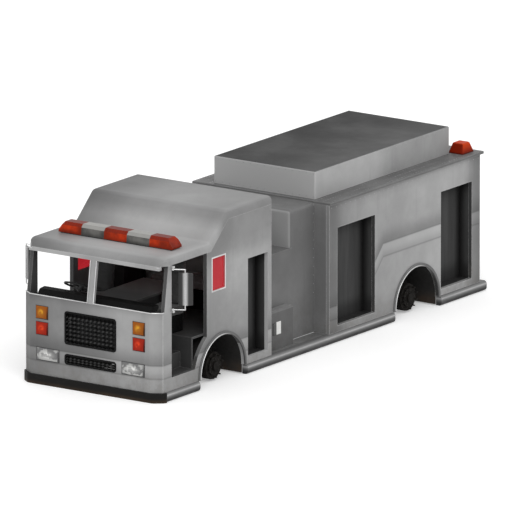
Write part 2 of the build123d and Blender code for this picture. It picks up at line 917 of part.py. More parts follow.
def lightbar_parts(first):
    lens = lightbar_lens()
    segment = 2 * bar_half / bar_segments
    solids = []
    for index in range(first, bar_segments, 2):
        left = -bar_half + index * segment
        cut = box(left + fit, left + segment - fit, bar_start - 1, bar_start + bar_depth + 1,
                  low_roof, low_roof + bar_height + 1)
        solids += list((lens & cut).solids())
    return Compound(solids)


def beacons():
    foot = Rectangle(beacon_width, beacon_length)
    top = Pos(0, 0, beacon_height) * Rectangle(beacon_top_width, beacon_top_length)
    dome = loft([foot.face(), top.face()])
    leaning = [edge for edge in dome.edges() if edge.bounding_box().size.Z > beacon_height / 2]
    dome = fillet(leaning, beacon_round)
    dome = chamfer(dome.faces().sort_by(Axis.Z)[-1].edges(), beacon_round / 2)
    return pair(Pos(half - beacon_inset, body_rear - beacon_edge - length / 2, deck_height) * dome)


def grille(bottom, height, rows, columns):
    rim = 28.0
    s0 = cab_front - 8
    s1 = cab_front + panel
    left = -grille_width / 2 + fit
    right = grille_width / 2 - fit
    low = bottom + fit
    high = bottom + height - fit
    frame = front_block(left, right, low, high, grille_radius - fit, s0, s1)
    frame -= front_block(left + rim, right - rim, low + rim, high - rim, grille_radius - rim, s0 - 1, s1 + 1)
    bar = 14.0
    blade_run = 34.0
    rib = 5.0
    pitch = (high - low - 2 * rim) / rows
    for row in range(1, rows):
        z = low + rim + row * pitch
        blade = [(s0 + 6, z - bar), (s0 + 14, z - bar), (s0 + blade_run, z + bar * 0.6),
                 (s0 + blade_run - 8, z + bar * 0.6)]
        frame += slab(blade, left + rim - 1, right - rim + 1)
    step = (right - left - 2 * rim) / columns
    for column in range(1, columns):
        x = left + rim + column * step
        frame += box(x - rib, x + rib, s0 + blade_run + 1, s0 + blade_run + 1 + 2 * rib, low + rim - 1, high - rim + 1)
    return frame


def grilles():
    upper = grille(grille_bottom, grille_height, 7, 12)
    lower = grille(low_grille_bottom, low_grille_height, 3, 12)
    return Compound([upper.solid(), lower.solid()])


def front_lamp(start, bottom, width, height):
    lamp = box(start + fit, start + width - fit, cab_front - lamp_proud, cab_front + panel,
               bottom + fit, bottom + height - fit)
    return chamfer(lamp.faces().sort_by(Axis.Y)[0].edges(), lamp_proud * 0.6)


def tail_lamp_sites():
    start = inner - tail_lamp_edge - tail_lamp_side
    upper = tail_lamp_bottom + tail_lamp_side + plate
    return [(start, bottom, tail_lamp_side, tail_lamp_side) for bottom in (tail_lamp_bottom, upper)]


def tail_lamp(start, bottom, width, height):
    lamp = box(start + fit, start + width - fit, body_rear - wall, body_rear + lamp_proud,
               bottom + fit, bottom + height - fit)
    return chamfer(lamp.faces().sort_by(Axis.Y)[-1].edges(), lamp_proud * 0.6)


def amber_lamps():
    front = front_lamp(*lamp_sites()[0])
    rear = tail_lamp(*tail_lamp_sites()[1])
    return Compound(list(pair(front).solids()) + list(pair(rear).solids()))


def red_lamps():
    front = front_lamp(*lamp_sites()[1])
    rear = tail_lamp(*tail_lamp_sites()[0])
    return Compound(list(pair(front).solids()) + list(pair(rear).solids()))


def clear_lamps():
    head = front_lamp(*lamp_sites()[2])
    s0, s1, z0, z1 = step_lamp_site()
    outer = pump_half + step_box_depth
    lamp = box(outer - plate, outer + step_lamp_proud, s0 + fit, s1 - fit, z0 + fit, z1 - fit)
    lamp = chamfer(lamp.faces().sort_by(Axis.X)[-1].edges(), step_lamp_proud * 0.6)
    return Compound(list(pair(head).solids()) + list(pair(lamp).solids()))


# Mirrors
def mirror_place():
    pivot_x = half + mirror_pivot_proud
    return Pos(pivot_x, door_start - 11 - length / 2, 0) * Rot(0, 0, mirror_turn)


def mirror_brackets():
    station = door_start - 11
    pivot_x = half + mirror_pivot_proud
    solids = []
    for z, inward in ((mirror_low, 1), (mirror_high, -1)):
        block = box(half, pivot_x + 16, station - 20, station + 20, z - 15, z + 15)
        tip = z + inward * 50
        block += post(pivot_x, station, mirror_pin, min(z, tip), max(z, tip))
        solids += list(pair(block).solids())
    return Compound(solids)


def mirror_arm():
    pin_hole = mirror_pin + running_gap
    eye_height = 24.0
    low = mirror_low + 32
    high = mirror_high - 32
    path = Polyline((0, 0, low), (mirror_reach, 0, low), (mirror_reach, 0, high), (0, 0, high))
    start = Plane(origin=(0, 0, low), z_dir=(1, 0, 0))
    arm = sweep(start * RegularPolygon(mirror_tube, 8), path=path, transition=Transition.RIGHT)
    for z in (low, high):
        arm += Pos(0, 0, z) * Box(4 * mirror_pin, 4 * mirror_pin, eye_height)
        arm -= Pos(0, 0, z) * Cylinder(pin_hole, eye_height + 2)
    return mirror_place() * arm


def mirror_head():
    front = mirror_tube + running_gap
    back = front + mirror_head_depth
    edge = back - mirror_head_depth * 0.3
    reach = mirror_head_width / 2
    curve = ThreePointArc((reach, edge), (0, front), (-reach, edge))
    shell = make_face([curve, Polyline((-reach, edge), (-reach, back), (reach, back), (reach, edge))])
    low = (mirror_low + mirror_high - mirror_head_height) / 2
    return mirror_place() * Pos(mirror_reach, 0, low) * extrude(shell, amount=mirror_head_height)


nodes = {
    "frame_rails": frame_rails(),
    "leaf_springs": leaf_springs(),
    "front_axle_beam": front_axle_beam(),
    "knuckle_left": knuckle(),
    "knuckle_right": flip(knuckle()),
    "tie_rod": tie_rod(),
    "hub_front_left": hub(front_axle),
    "hub_front_right": flip(hub(front_axle)),
    "hub_rear_left": hub(rear_axle),
    "hub_rear_right": flip(hub(rear_axle)),
    "rear_axle_housing": rear_axle_housing(),
    "engine": engine(),
    "drive_shaft": drive_shaft(),
    "radiator": radiator(),
    "front_bumper": front_bumper(),
    "side_sills": side_sills(),
    "rear_step": rear_step(),
    "cab_roof": cab_roof(),
    "cab_side_left": cab_side(),
    "cab_side_right": flip(cab_side()),
    "cab_front_panel": cab_front_panel(),
    "windscreen_frame": windscreen_frame(),
    "cab_rear_wall": cab_rear_wall(),
    "cab_floor": cab_floor(),
    "engine_cover": engine_cover(),
    "dashboard": dashboard(),
    "steering_wheel": steering_wheel(),
    "front_seats": front_seats(),
    "crew_bench": crew_bench(),
    "side_windows": side_windows(),
    "wheel_wells": wheel_wells(),
    "arch_lips": arch_lips(),
    "locker_boxes": locker_boxes(),
    "pump_module": pump_module(),
    "running_boards": running_boards(),
    "step_boxes": step_boxes(),
    "body_side_left": body_side(),
    "body_side_right": flip(body_side()),
    "body_end_walls": body_end_walls(),
    "body_deck": body_deck(),
    "water_tank": water_tank(),
    "roof_box": roof_box(),
    "lightbar_base": lightbar_base(),
    "lightbar_red": lightbar_parts(0),
    "lightbar_clear": lightbar_parts(1),
    "beacons": beacons(),
    "grilles": grilles(),
    "amber_lamps": amber_lamps(),
    "red_lamps": red_lamps(),
    "clear_lamps": clear_lamps(),
    "mirror_brackets": mirror_brackets(),
    "mirror_arm_left": mirror_arm(),
    "mirror_arm_right": flip(mirror_arm()),
    "mirror_head_left": mirror_head(),
    "mirror_head_right": flip(mirror_head()),
}

os.makedirs("parts", exist_ok=True)
for name, shape in nodes.items():
    export_step(shape, f"parts/{name}.step")
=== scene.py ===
import math
import bpy
import bmesh
from mathutils import Vector, Matrix


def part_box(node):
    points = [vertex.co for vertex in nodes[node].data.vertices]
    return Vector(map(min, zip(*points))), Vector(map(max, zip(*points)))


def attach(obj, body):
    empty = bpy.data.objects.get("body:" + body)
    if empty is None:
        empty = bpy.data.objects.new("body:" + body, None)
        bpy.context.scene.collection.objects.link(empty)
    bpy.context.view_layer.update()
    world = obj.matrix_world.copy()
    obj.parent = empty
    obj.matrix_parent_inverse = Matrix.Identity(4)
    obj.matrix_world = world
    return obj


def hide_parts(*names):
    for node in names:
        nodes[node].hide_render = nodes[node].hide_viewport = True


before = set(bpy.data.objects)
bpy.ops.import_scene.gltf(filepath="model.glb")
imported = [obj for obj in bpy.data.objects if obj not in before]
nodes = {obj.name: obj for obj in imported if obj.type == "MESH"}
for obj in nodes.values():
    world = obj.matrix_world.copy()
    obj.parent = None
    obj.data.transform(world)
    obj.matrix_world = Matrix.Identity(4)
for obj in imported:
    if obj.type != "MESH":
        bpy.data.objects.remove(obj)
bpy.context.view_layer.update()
print("frame loaded:", len(nodes), "nodes")

truck = {
    "halfLength": 4.18,
    "sideX": 1.21,          # outer face of cab and body sides
    "frontAxle": 1600,      # stations, millimetres behind the bumper's face
    "rearAxle": 6580,
    "axleZ": 0.23,
    "archZ": 0.16,
}


def atStation(mm):
    return mm / 1000 - truck["halfLength"]


def fromStations(*points):
    return [(atStation(mm), value) for mm, value in points]


def grey(v, warm=0.0):
    return (v * (1 + warm), v, v * (1 - warm), 1)


def scaled(colour, *factors):
    factors = factors * 3 if len(factors) == 1 else factors
    return tuple(min(1, c * f) for c, f in zip(colour, factors)) + (1,)


def linkNew(name, data):
    made = bpy.data.objects.new(name, data)
    bpy.context.collection.objects.link(made)
    return made


# short ways to place nodes in a shader or geometry tree

class nodeSheet:
    def __init__(self, tree):
        self.tree = tree

    def feed(self, socket, value):
        if isinstance(value, bpy.types.NodeSocket):
            self.tree.links.new(value, socket)
        else:
            socket.default_value = value

    def node(self, kind, inputs=None, **settings):
        made = self.tree.nodes.new(kind)
        for key, value in settings.items():
            setattr(made, key, value)
        for key, value in (inputs or {}).items():
            self.feed(made.inputs[key], value)
        return made

    def out(self, kind, inputs=None, output=0, **settings):
        return self.node(kind, inputs, **settings).outputs[output]

    def do(self, operation, a, b=0.0, clamp=False):
        return self.out("ShaderNodeMath", {0: a, 1: b}, operation=operation, use_clamp=clamp)

    def times(self, a, b, clamp=False):
        return self.do("MULTIPLY", a, b, clamp)

    def plus(self, a, b):
        return self.do("ADD", a, b)

    def minus(self, a, b, clamp=False):
        return self.do("SUBTRACT", a, b, clamp)

    def size(self, a):
        return self.do("ABSOLUTE", a)

    def line(self, value, slope, base):
        return self.plus(self.times(value, slope), base)

    def remap(self, value, low, high, toLow=0.0, toHigh=1.0, kind="SMOOTHSTEP"):
        return self.out("ShaderNodeMapRange", {"Value": value, "From Min": low, "From Max": high,
            "To Min": toLow, "To Max": toHigh}, interpolation_type=kind)

    def noise(self, scale, detail=3.0, roughness=0.55, vector=None):
        return self.out("ShaderNodeTexNoise", {"Vector": self.place if vector is None else vector,
            "Scale": scale, "Detail": detail, "Roughness": roughness}, "Fac")

    def stretch(self, scale):
        return self.out("ShaderNodeMapping", {"Vector": self.place, "Scale": scale}, "Vector")

    def mix(self, factor, a, b, blend="MIX"):
        return self.out("ShaderNodeMix", {0: factor, 6: a, 7: b}, 2, data_type="RGBA", blend_type=blend)

    def normal(self):
        return self.out("ShaderNodeNewGeometry", output="Normal")

    def dot(self, a, b):
        return self.out("ShaderNodeVectorMath", {0: a, 1: b}, "Value", operation="DOT_PRODUCT")

    def facing(self, axis, low, high):
        return self.remap(self.out("ShaderNodeSeparateXYZ", {0: self.normal()}, axis), low, high)

    def ramp(self, axis, stops, kind="LINEAR"):
        low, high = stops[0][0], stops[-1][0]
        ramp = self.node("ShaderNodeValToRGB", {0: self.remap(self.at[axis], low, high, kind=kind)})
        marks = ramp.color_ramp.elements
        while len(marks) < len(stops):
            marks.new(0.5)
        for mark, (where, tone) in zip(marks, stops):
            mark.position = (where - low) / (high - low)
            mark.color = grey(tone)
        return ramp.outputs["Color"]

    def use(self, key, inputs=None):
        return self.node("ShaderNodeGroup", inputs, node_tree=groups[key]).outputs

    def bump(self, height, strength, distance):
        return self.out("ShaderNodeBump", {"Height": height, "Strength": strength, "Distance": distance},
            "Normal")

    def finish(self, colour, roughness, normal=None, **values):
        values.update(Base_Color=colour, Roughness=roughness)
        if normal is not None:
            values["Normal"] = normal
        sockets = self.tree.nodes["Principled BSDF"].inputs
        for label, value in values.items():
            self.feed(sockets[label.replace("_", " ")], value)


def shaderSheet(tree):
    sheet = nodeSheet(tree)
    sheet.place = sheet.out("ShaderNodeTexCoord", output="Object")
    sheet.at = sheet.node("ShaderNodeSeparateXYZ", {0: sheet.place}).outputs
    sheet.x, sheet.y, sheet.z = sheet.at
    return sheet


# view and light

viewPoint = {
    "azimuth": 34.747,      # degrees round from straight ahead, towards the truck's left
    "elevation": 13.846,
    "distance": 300.0,      # far off, so that the picture is nearly parallel
    "span": 7.465,          # metres across the picture at the truck
    "across": 0.0148,       # picture centre, measured along the picture's own right and up
    "upward": 1.1538,
    "sensor": 36.0,
    "clipEnd": 900.0,
}


def placeCamera(v):
    az, el = math.radians(v["azimuth"]), math.radians(v["elevation"])
    right = Vector((math.cos(az), math.sin(az), 0))
    forward = Vector((-math.sin(az) * math.cos(el), math.cos(az) * math.cos(el), -math.sin(el)))
    target = right * v["across"] + right.cross(forward) * v["upward"]
    data = bpy.data.cameras.new("viewCamera")
    data.sensor_width = v["sensor"]
    data.lens = v["sensor"] * v["distance"] / v["span"]
    data.clip_end = v["clipEnd"]
    cam = linkNew("viewCamera", data)
    cam.location = target - forward * v["distance"]
    cam.rotation_euler = forward.to_track_quat("-Z", "Y").to_euler()
    bpy.context.scene.camera = cam


studio = {
    "skyLevel": 0.72,       # the sky's light; seen straight, through glass or in a gloss it is plain white
    "sunLevel": 1.05,
    "sunAngle": 40.0,       # degrees, wide so that shadows stay soft
    "sunTilt": (48.0, 0.0, 44.0),
    "floorTone": 0.9,
    "floorReach": 120.0,
    "floorLift": 0.30,      # seen by the camera only, so the truck gets no more light
}


def lightStudio(s):
    world = bpy.data.worlds.new("studioWorld")
    bpy.context.scene.world = world
    world.use_nodes = True
    world.node_tree.nodes.clear()
    sheet = nodeSheet(world.node_tree)
    path = sheet.node("ShaderNodeLightPath").outputs
    seen = sheet.do("MAXIMUM", path["Is Camera Ray"], path["Is Transmission Ray"])
    seen = sheet.do("MAXIMUM", seen, path["Is Glossy Ray"])
    level = sheet.remap(seen, 0, 1, s["skyLevel"], 1.0, "LINEAR")
    sky = sheet.out("ShaderNodeBackground", {"Color": grey(1), "Strength": level})
    sheet.node("ShaderNodeOutputWorld", {"Surface": sky})
    lamp = bpy.data.lights.new("softSun", "SUN")
    lamp.energy = s["sunLevel"]
    lamp.angle = math.radians(s["sunAngle"])
    linkNew("softSun", lamp).rotation_euler = [math.radians(a) for a in s["sunTilt"]]


def layFloor(s):
    r = s["floorReach"]
    mesh = bpy.data.meshes.new("studioFloor")
    mesh.from_pydata([(-r, -r, 0), (r, -r, 0), (r, r, 0), (-r, r, 0)], [], [(0, 1, 2, 3)])
    floor = linkNew("studioFloor", mesh)
    mat = bpy.data.materials.new("floorPaper")
    mat.use_nodes = True
    mat.node_tree.nodes.clear()
    sheet = nodeSheet(mat.node_tree)
    paper = sheet.out("ShaderNodeBsdfDiffuse", {"Color": grey(s["floorTone"])})
    dark, lift = [sheet.out("ShaderNodeEmission", {"Color": grey(1), "Strength": level})
        for level in (0.0, s["floorLift"])]
    seen = sheet.out("ShaderNodeLightPath", output="Is Camera Ray")
    pick = sheet.out("ShaderNodeMixShader", {0: seen, 1: dark, 2: lift})
    both = sheet.out("ShaderNodeAddShader", {0: paper, 1: pick})
    sheet.node("ShaderNodeOutputMaterial", {"Surface": both})
    mesh.materials.append(mat)


bpy.context.scene.view_settings.view_transform = "Standard"
placeCamera(viewPoint)
lightStudio(studio)
layFloor(studio)
print("camera, light and floor placed")


# shared shader groups

socketKinds = {float: "NodeSocketFloat", int: "NodeSocketInt", tuple: "NodeSocketVector"}


def addInputs(tree, inputs):
    keys = {}
    for label, value in inputs.items():
        item = tree.interface.new_socket(label, in_out="INPUT", socket_type=socketKinds[type(value)])
        item.default_value = value
        keys[label] = item.identifier
    return keys, tree.nodes.new("NodeGroupInput").outputs


def newGroup(name, inputs):
    tree = bpy.data.node_groups.new(name, "ShaderNodeTree")
    start = addInputs(tree, inputs)[1]
    return shaderSheet(tree), start


def closeGroup(sheet, results):
    for label in results:
        sheet.tree.interface.new_socket(label, in_out="OUTPUT", socket_type="NodeSocketFloat")
    sheet.node("NodeGroupOutput", results)
    return sheet.tree


def buildWeatherAndSheen():
    s, start = newGroup("paintWeatherAndSheen", {"Patch Scale": 1.6, "Dirt Top": 0.6, "Edge Width": 0.012})
    patch = s.remap(s.noise(start["Patch Scale"], 5.0, 0.62), 0.34, 0.68)
    streak = s.remap(s.noise(1.0, 4.0, 0.6, s.stretch((7, 7, 0.5))), 0.52, 0.74)
    low = s.remap(s.z, 0.1, start["Dirt Top"], 1.0, 0.0, "LINEAR")
    dirt = s.times(low, s.remap(s.noise(9.0, 6.0, 0.7), 0.35, 0.7), True)
    # the edge mask brightens bevelled edges: partly chipped wear, partly a painted highlight along edges and
    # corners
    soft = s.out("ShaderNodeBevel", {"Radius": start["Edge Width"]}, "Normal", samples=4)
    chips = s.remap(s.noise(14.0, 4.0, 0.65), 0.3, 0.6, 0.45, 1.0)
    edge = s.times(s.remap(s.dot(soft, s.normal()), 0.995, 0.86), chips, True)
    relief = s.plus(s.times(s.noise(120.0, 2.0), 0.12), s.times(s.noise(2.2, 2.0), 0.9))
    return closeGroup(s, {"Patch": patch, "Streak": streak, "Dirt": dirt, "Edge Wear And Highlight": edge, "Height": relief})


# the band is a lighter stripe; painted shade along its edges, on its lower part and above it makes it look
# raised
bandLine = {
    "Low": 0.449,           # middle of the raised-looking band at the cab
    "High": 1.135,          # and behind the front locker
    "Rise From": 0.92,
    "Rise To": 1.54,
    "Half": 0.098,
    "Fall": 0.28,           # how far above the band its shade reaches
}


def buildBand(b):
    s, start = newGroup("sideBand", b)
    middle = s.remap(s.y, start["Rise From"], start["Rise To"], start["Low"], start["High"], "LINEAR")
    above = s.minus(s.z, middle)
    past = s.minus(s.size(above), start["Half"])
    # Band is the stripe itself; Line, Under and Shade are painted shade
    band = s.remap(past, 0.006, -0.012)
    line = s.minus(1.0, s.size(s.times(past, 50.0)), True)
    over = s.do("DIVIDE", s.minus(above, start["Half"]), start["Fall"])
    shade = s.times(s.remap(over, 1.0, 0.0), s.do("GREATER_THAN", over, 0.0))
    under = s.times(band, s.remap(above, 0.04, -0.1))
    return closeGroup(s, {"Band": band, "Line": line, "Shade": shade, "Under": under})


def buildInnerFaceMask():
    s, start = newGroup("inwardMask", {"Middle": (0.0, -2.7, 1.35)})
    away = s.out("ShaderNodeVectorMath", {0: s.place, 1: start["Middle"]}, operation="SUBTRACT")
    return closeGroup(s, {"Inside": s.remap(s.dot(away, s.normal()), 0.02, -0.02)})


def buildLampFace():
    s, start = newGroup("lampFace", {"Across": 0.0, "Upward": 0.0, "Half Width": 0.1, "Half Height": 0.09,
        "Flutes": 60.0})
    wide = s.do("DIVIDE", start["Across"], start["Half Width"])
    tall = s.do("DIVIDE", start["Upward"], start["Half Height"])
    out = s.do("SQRT", s.plus(s.times(wide, wide), s.times(tall, tall)))
    rim = s.remap(s.do("MAXIMUM", s.size(wide), s.size(tall)), 0.84, 0.95)
    flutes = s.do("SINE", s.times(start["Across"], s.times(start["Flutes"], math.tau)))
    turn = s.plus(s.do("ARCTAN2", tall, wide), s.times(s.noise(14.0, 2.0), 9.0))
    swirl = s.do("SINE", s.minus(s.times(out, 5.0), turn))
    # Bowl and Swirl serve as painted reflections, Shade and Rim as painted shade towards one lower corner and
    # on the rim; Relief is a bump
    return closeGroup(s, {"Bowl": s.remap(out, 0.85, 0.05), "Rim": rim, "Swirl": s.remap(swirl, -0.6, 0.9),
        "Relief": s.plus(s.times(flutes, 0.3), s.times(swirl, 0.5)),
        "Shade": s.remap(s.minus(wide, tall), -0.6, 1.6)})


groups = {"weatherAndSheen": buildWeatherAndSheen(), "band": buildBand(bandLine), "lining": buildInnerFaceMask(),
    "lamp": buildLampFace()}
print("shader groups built:", len(groups))


# materials

materials = {}


def newMaterial(name):
    mat = materials[name] = bpy.data.materials.new(name)
    mat.use_nodes = True
    return shaderSheet(mat.node_tree)


paintBase = {"patch": 1.6, "dirtTop": 0.6, "dirt": 0.4, "edgeWidth": 0.012, "edge": 0.6, "coat": 0.08,
    "shine": 0.35, "rough": (0.6, 0.44), "sweeps": {}, "noseY": -9.0}
# for each part of the band: its name in the group, its weight and its tone; Band is the stripe's own lighter
# paint, while Shade, Under and Line are painted shade that makes it look raised
bandStripeAndShade = (("Shade", 0.6, 0.34), ("Band", 0.5, 1.3), ("Under", 0.4, 0.5), ("Line", 0.55, 0.36))
# painted light and shade inside the cab: tones of inner faces along the cab, darkest towards the front
cabInsideShading = fromStations((400, 0.07), (900, 0.10), (1700, 0.42), (2900, 0.48))

# painted light and shade: tones are multiplied by ramps along X, Y or Z, and faces that look up or forward
# take tones of their own; a nose is what lies ahead of noseY
paintLooks = {
    "frontPaint": {"tone": 0.345, "band": True, "lined": cabInsideShading, "patch": 1.3, "edge": 0.4, "sweeps": {
        "X": [(-1.25, 0.46), (-0.6, 0.64), (0.0, 0.82), (0.55, 1.0), (1.05, 0.97), (1.25, 0.85)],
        "Z": [(0.15, 0.97), (1.15, 1.0), (1.22, 0.98), (1.32, 0.78)]}},
    "sidePaint": {"tone": 0.40, "band": True, "lined": cabInsideShading, "patch": 1.1, "frontTone": 0.06,
                  "edge": 0.35, "sweeps": {
        "Y": fromStations((100, 1.0), (330, 1.0), (750, 0.84), (1500, 0.84), (1900, 0.94), (2400, 0.92)),
        "Z": [(0.15, 0.88), (0.8, 0.80), (1.1, 0.9), (1.4, 1.0), (1.75, 1.0), (1.95, 0.74), (2.1, 0.64)]}},
    "roofPaint": {"tone": 0.396, "topTone": 0.44, "lined": cabInsideShading, "patch": 1.2, "edge": 0.15, "sweeps": {
        "X": [(-1.22, 0.40), (-0.9, 0.54), (-0.4, 0.92), (0.2, 1.0), (0.7, 0.92), (1.0, 0.82), (1.22, 0.95)],
        "Y": fromStations((-60, 0.46), (100, 0.6), (230, 0.8), (400, 0.95), (600, 0.97), (1000, 0.92),
                          (1480, 0.98), (1650, 0.66), (2900, 0.58))}},
    "framePaint": {"tone": 0.36, "lined": cabInsideShading},
    "rearWallPaint": {"tone": 0.22, "lined": cabInsideShading},
    # pump module and step boxes: darker copies of the body paint, painted shade; the pump's front and the
    # boxes' tops are painted lighter
    "pumpPaint": {"tone": 0.145, "patch": 1.0, "dirtTop": 0.9, "frontTone": 0.32},
    "stepBoxPaint": {"tone": 0.10, "dirtTop": 0.9, "topTone": 0.24},
    # body sides: forward faces, as in the locker openings, are painted in shade, and the body's front corner
    # takes its own nose tone
    "bodyPaint": {"tone": 0.40, "band": True, "patch": 0.9, "edgeWidth": 0.018, "edge": 0.45,
                  "frontTone": 0.05, "noseTone": 0.215, "noseY": atStation(4340), "sweeps": {
        "Y": fromStations((4300, 0.40), (4480, 0.42), (4700, 0.62), (5000, 0.77), (5600, 0.78), (6100, 0.88),
                          (6600, 0.94), (7300, 1.0), (7800, 0.9), (8030, 0.56), (8180, 0.44)),
        "Z": [(0.2, 0.85), (0.5, 0.96), (1.9, 1.0), (2.0, 0.92), (2.07, 0.72)]}},
    # end walls: a darker copy of the body paint, painted shade
    "endWallPaint": {"tone": 0.17, "patch": 1.2},
    "deckPaint": {"tone": 0.13, "edge": 0.8},
    "floorPaint": {"tone": 0.045, "edge": 1.0, "edgeWidth": 0.02, "dirt": 0.2, "coat": 0.0},
    # roof box: its front and top faces take darker tones, painted shade
    "boxPaint": {"tone": 0.44, "frontTone": 0.40, "patch": 0.8, "edge": 0.35, "dirt": 0.08, "coat": 0.0,
                 "shine": 0.1, "sweeps": {
        "Y": fromStations((4400, 1.0), (6000, 1.0), (6500, 0.76), (7000, 0.72), (7600, 0.84), (8000, 0.84))},
        "topStops": [(-0.9, 0.026), (-0.5, 0.028), (0.0, 0.040), (0.6, 0.066), (0.9, 0.07)]},
    "lipPaint": {"tone": 0.13, "dirtTop": 0.5},
    # engine cover: painted light on its top and painted shade deepening towards its front
    "coverPaint": {"tone": 0.05, "topTone": 0.34, "edge": 0.2, "dirt": 0.0, "coat": 0.0, "sweeps": {
        "Y": fromStations((500, 0.2), (995, 0.45), (1163, 0.72), (1400, 1.0))}},
}


def makePaint(name, changes):
    s = newMaterial(name)
    look = {**paintBase, **changes}
    tone = look["tone"]
    wearAndSheen = s.use("weatherAndSheen", {"Patch Scale": look["patch"], "Dirt Top": look["dirtTop"],
        "Edge Width": look["edgeWidth"]})
    colour = s.mix(wearAndSheen["Patch"], grey(tone * 0.87), grey(tone * 1.09))
    colour = s.mix(s.times(wearAndSheen["Streak"], 0.3), colour, grey(tone * 0.72))
    # painted light: upward faces take a tone of their own, lighter than the sides
    if "topTone" in look:
        colour = s.mix(s.facing("Z", 0.6, 0.9), colour, grey(look["topTone"]))
    # the band's stripe, with its painted shade
    if "band" in look:
        band = s.use("band")
        for label, weight, shade in bandStripeAndShade:
            colour = s.mix(s.times(band[label], weight), colour, grey(tone * shade))
    # painted light and shade: tone ramps along X, Y and Z
    for axis, stops in look["sweeps"].items():
        colour = s.mix(1.0, colour, s.ramp(axis, stops), "MULTIPLY")
    # painted shade: upward faces take tones ramped across X
    if "topStops" in look:
        colour = s.mix(s.facing("Z", 0.6, 0.9), colour, s.ramp("X", look["topStops"]))
    # painted light and shade on faces that look forward, with a nose tone ahead of noseY
    if "frontTone" in look:
        onNose = s.do("LESS_THAN", s.y, look["noseY"])
        front = s.mix(onNose, grey(look["frontTone"]), grey(look.get("noseTone", look["frontTone"])))
        colour = s.mix(s.facing("Y", -0.6, -0.9), colour, front)
    colour = s.mix(s.times(wearAndSheen["Dirt"], look["dirt"]), colour, scaled((tone,) * 3, 0.42, 0.38, 0.33))
    # painted highlight along the edges, with some chipped wear
    colour = s.mix(s.times(wearAndSheen["Edge Wear And Highlight"], look["edge"]), colour, grey(min(0.85, tone * 1.8 + 0.06)))
    # painted shade inside the cab: inner faces take tones ramped along the cab
    if "lined" in look:
        colour = s.mix(s.use("lining")["Inside"], colour, s.ramp("Y", look["lined"]))
    s.finish(colour, s.remap(wearAndSheen["Patch"], 0, 1, *look["rough"], "LINEAR"),
        s.bump(wearAndSheen["Height"], 0.12, 0.004), Coat_Weight=look["coat"], Coat_Roughness=0.3,
        Specular_IOR_Level=look["shine"])


# painted highlight and shade that make the rail look round: height and tone, from the rail's foot to its top
railLightStops = [(0.0, 0.008), (0.033, 0.03), (0.075, 0.13), (0.105, 0.30), (0.12, 0.48), (0.138, 0.22),
    (0.15, 0.13)]


def makeRail(stops):
    s = newMaterial("railPaint")
    wearAndSheen = s.use("weatherAndSheen", {"Patch Scale": 2.4, "Edge Width": 0.006})
    colour = s.mix(s.times(wearAndSheen["Patch"], 0.25), s.ramp("Z", stops, "SMOOTHSTEP"), grey(0.1))
    s.finish(colour, s.remap(wearAndSheen["Patch"], 0, 1, 0.5, 0.36), s.bump(wearAndSheen["Height"], 0.1, 0.003),
        Specular_IOR_Level=0.3)


bumperLook = {"black": (0.006, 0.0055, 0.005, 1), "brown": (0.045, 0.028, 0.016, 1), "brownTop": 0.075}


def makeBumper(look):
    s = newMaterial("bumperBlack")
    wearAndSheen = s.use("weatherAndSheen", {"Patch Scale": 3.0, "Edge Width": 0.015})
    muddy = s.times(s.remap(s.z, look["brownTop"], 0.0), s.line(wearAndSheen["Patch"], 0.5, 0.5))
    colour = s.mix(muddy, look["black"], look["brown"])
    # painted highlight along the edges, with some chipped wear
    colour = s.mix(s.times(wearAndSheen["Edge Wear And Highlight"], 0.35), colour, grey(0.09))
    s.finish(colour, s.remap(wearAndSheen["Patch"], 0, 1, 0.62, 0.42), s.bump(wearAndSheen["Height"], 0.2, 0.004),
        Specular_IOR_Level=0.18)


# painted shade in the lockers: darker in the corners at their ends and back, under their tops and at their
# feet
lockerLook = {"tone": 0.052, "deep": 0.010, "ends": (2761, 5506, 8020), "backX": 0.99, "shade": 0.14,
    "underside": (1.46, 1.71), "foot": (0.55, 0.35)}


def makeLocker(look):
    s = newMaterial("lockerMetal")
    gap = 9.0
    for station in look["ends"]:
        gap = s.do("MINIMUM", s.size(s.minus(s.y, atStation(station))), gap)
    out = s.minus(s.size(s.x), look["backX"])
    # painted shade in the corners at the locker ends and at the back
    cornerShade = s.remap(s.do("MAXIMUM", gap, out), look["shade"], 0.0)
    streaks = s.noise(1.5, vector=s.stretch((5, 5, 0.4)))
    colour = s.mix(s.remap(streaks, 0.3, 0.7), grey(look["tone"] * 0.85), grey(look["tone"] * 1.15))
    # painted shade under the locker's top and towards its foot
    ends = [s.times(s.remap(s.z, *look[end]), 0.6) for end in ("underside", "foot")]
    for mask in ends + [cornerShade]:
        colour = s.mix(mask, colour, grey(look["deep"]))
    s.finish(colour, s.remap(streaks, 0.2, 0.8, 0.6, 0.45), Specular_IOR_Level=0.2)


# painted highlights: rows of light dashes on the upward faces of the blades
bladeLook = {"pitch": 0.0715, "dark": 0.003, "light": 0.055}


def makeBlades(look):
    s = newMaterial("grilleBlades")
    wave = s.do("COSINE", s.times(s.x, math.tau / look["pitch"]))
    # painted highlight where the blades face up
    dash = s.times(s.remap(wave, -0.5, 0.9), s.facing("Z", 0.05, 0.5))
    grit = s.remap(s.noise(30.0, 4.0), 0.3, 0.7, 0.7, 1.0)
    s.finish(s.mix(s.times(dash, grit), grey(look["dark"]), grey(look["light"])), 0.5,
        Specular_IOR_Level=0.12)


# a painted highlight down the middle of each mirror head, which is turned about Z
shellLook = {"x": 1.4009, "y": -3.7806, "turn": 27.0, "stripe": 0.053, "dark": 0.045, "bright": 0.62}


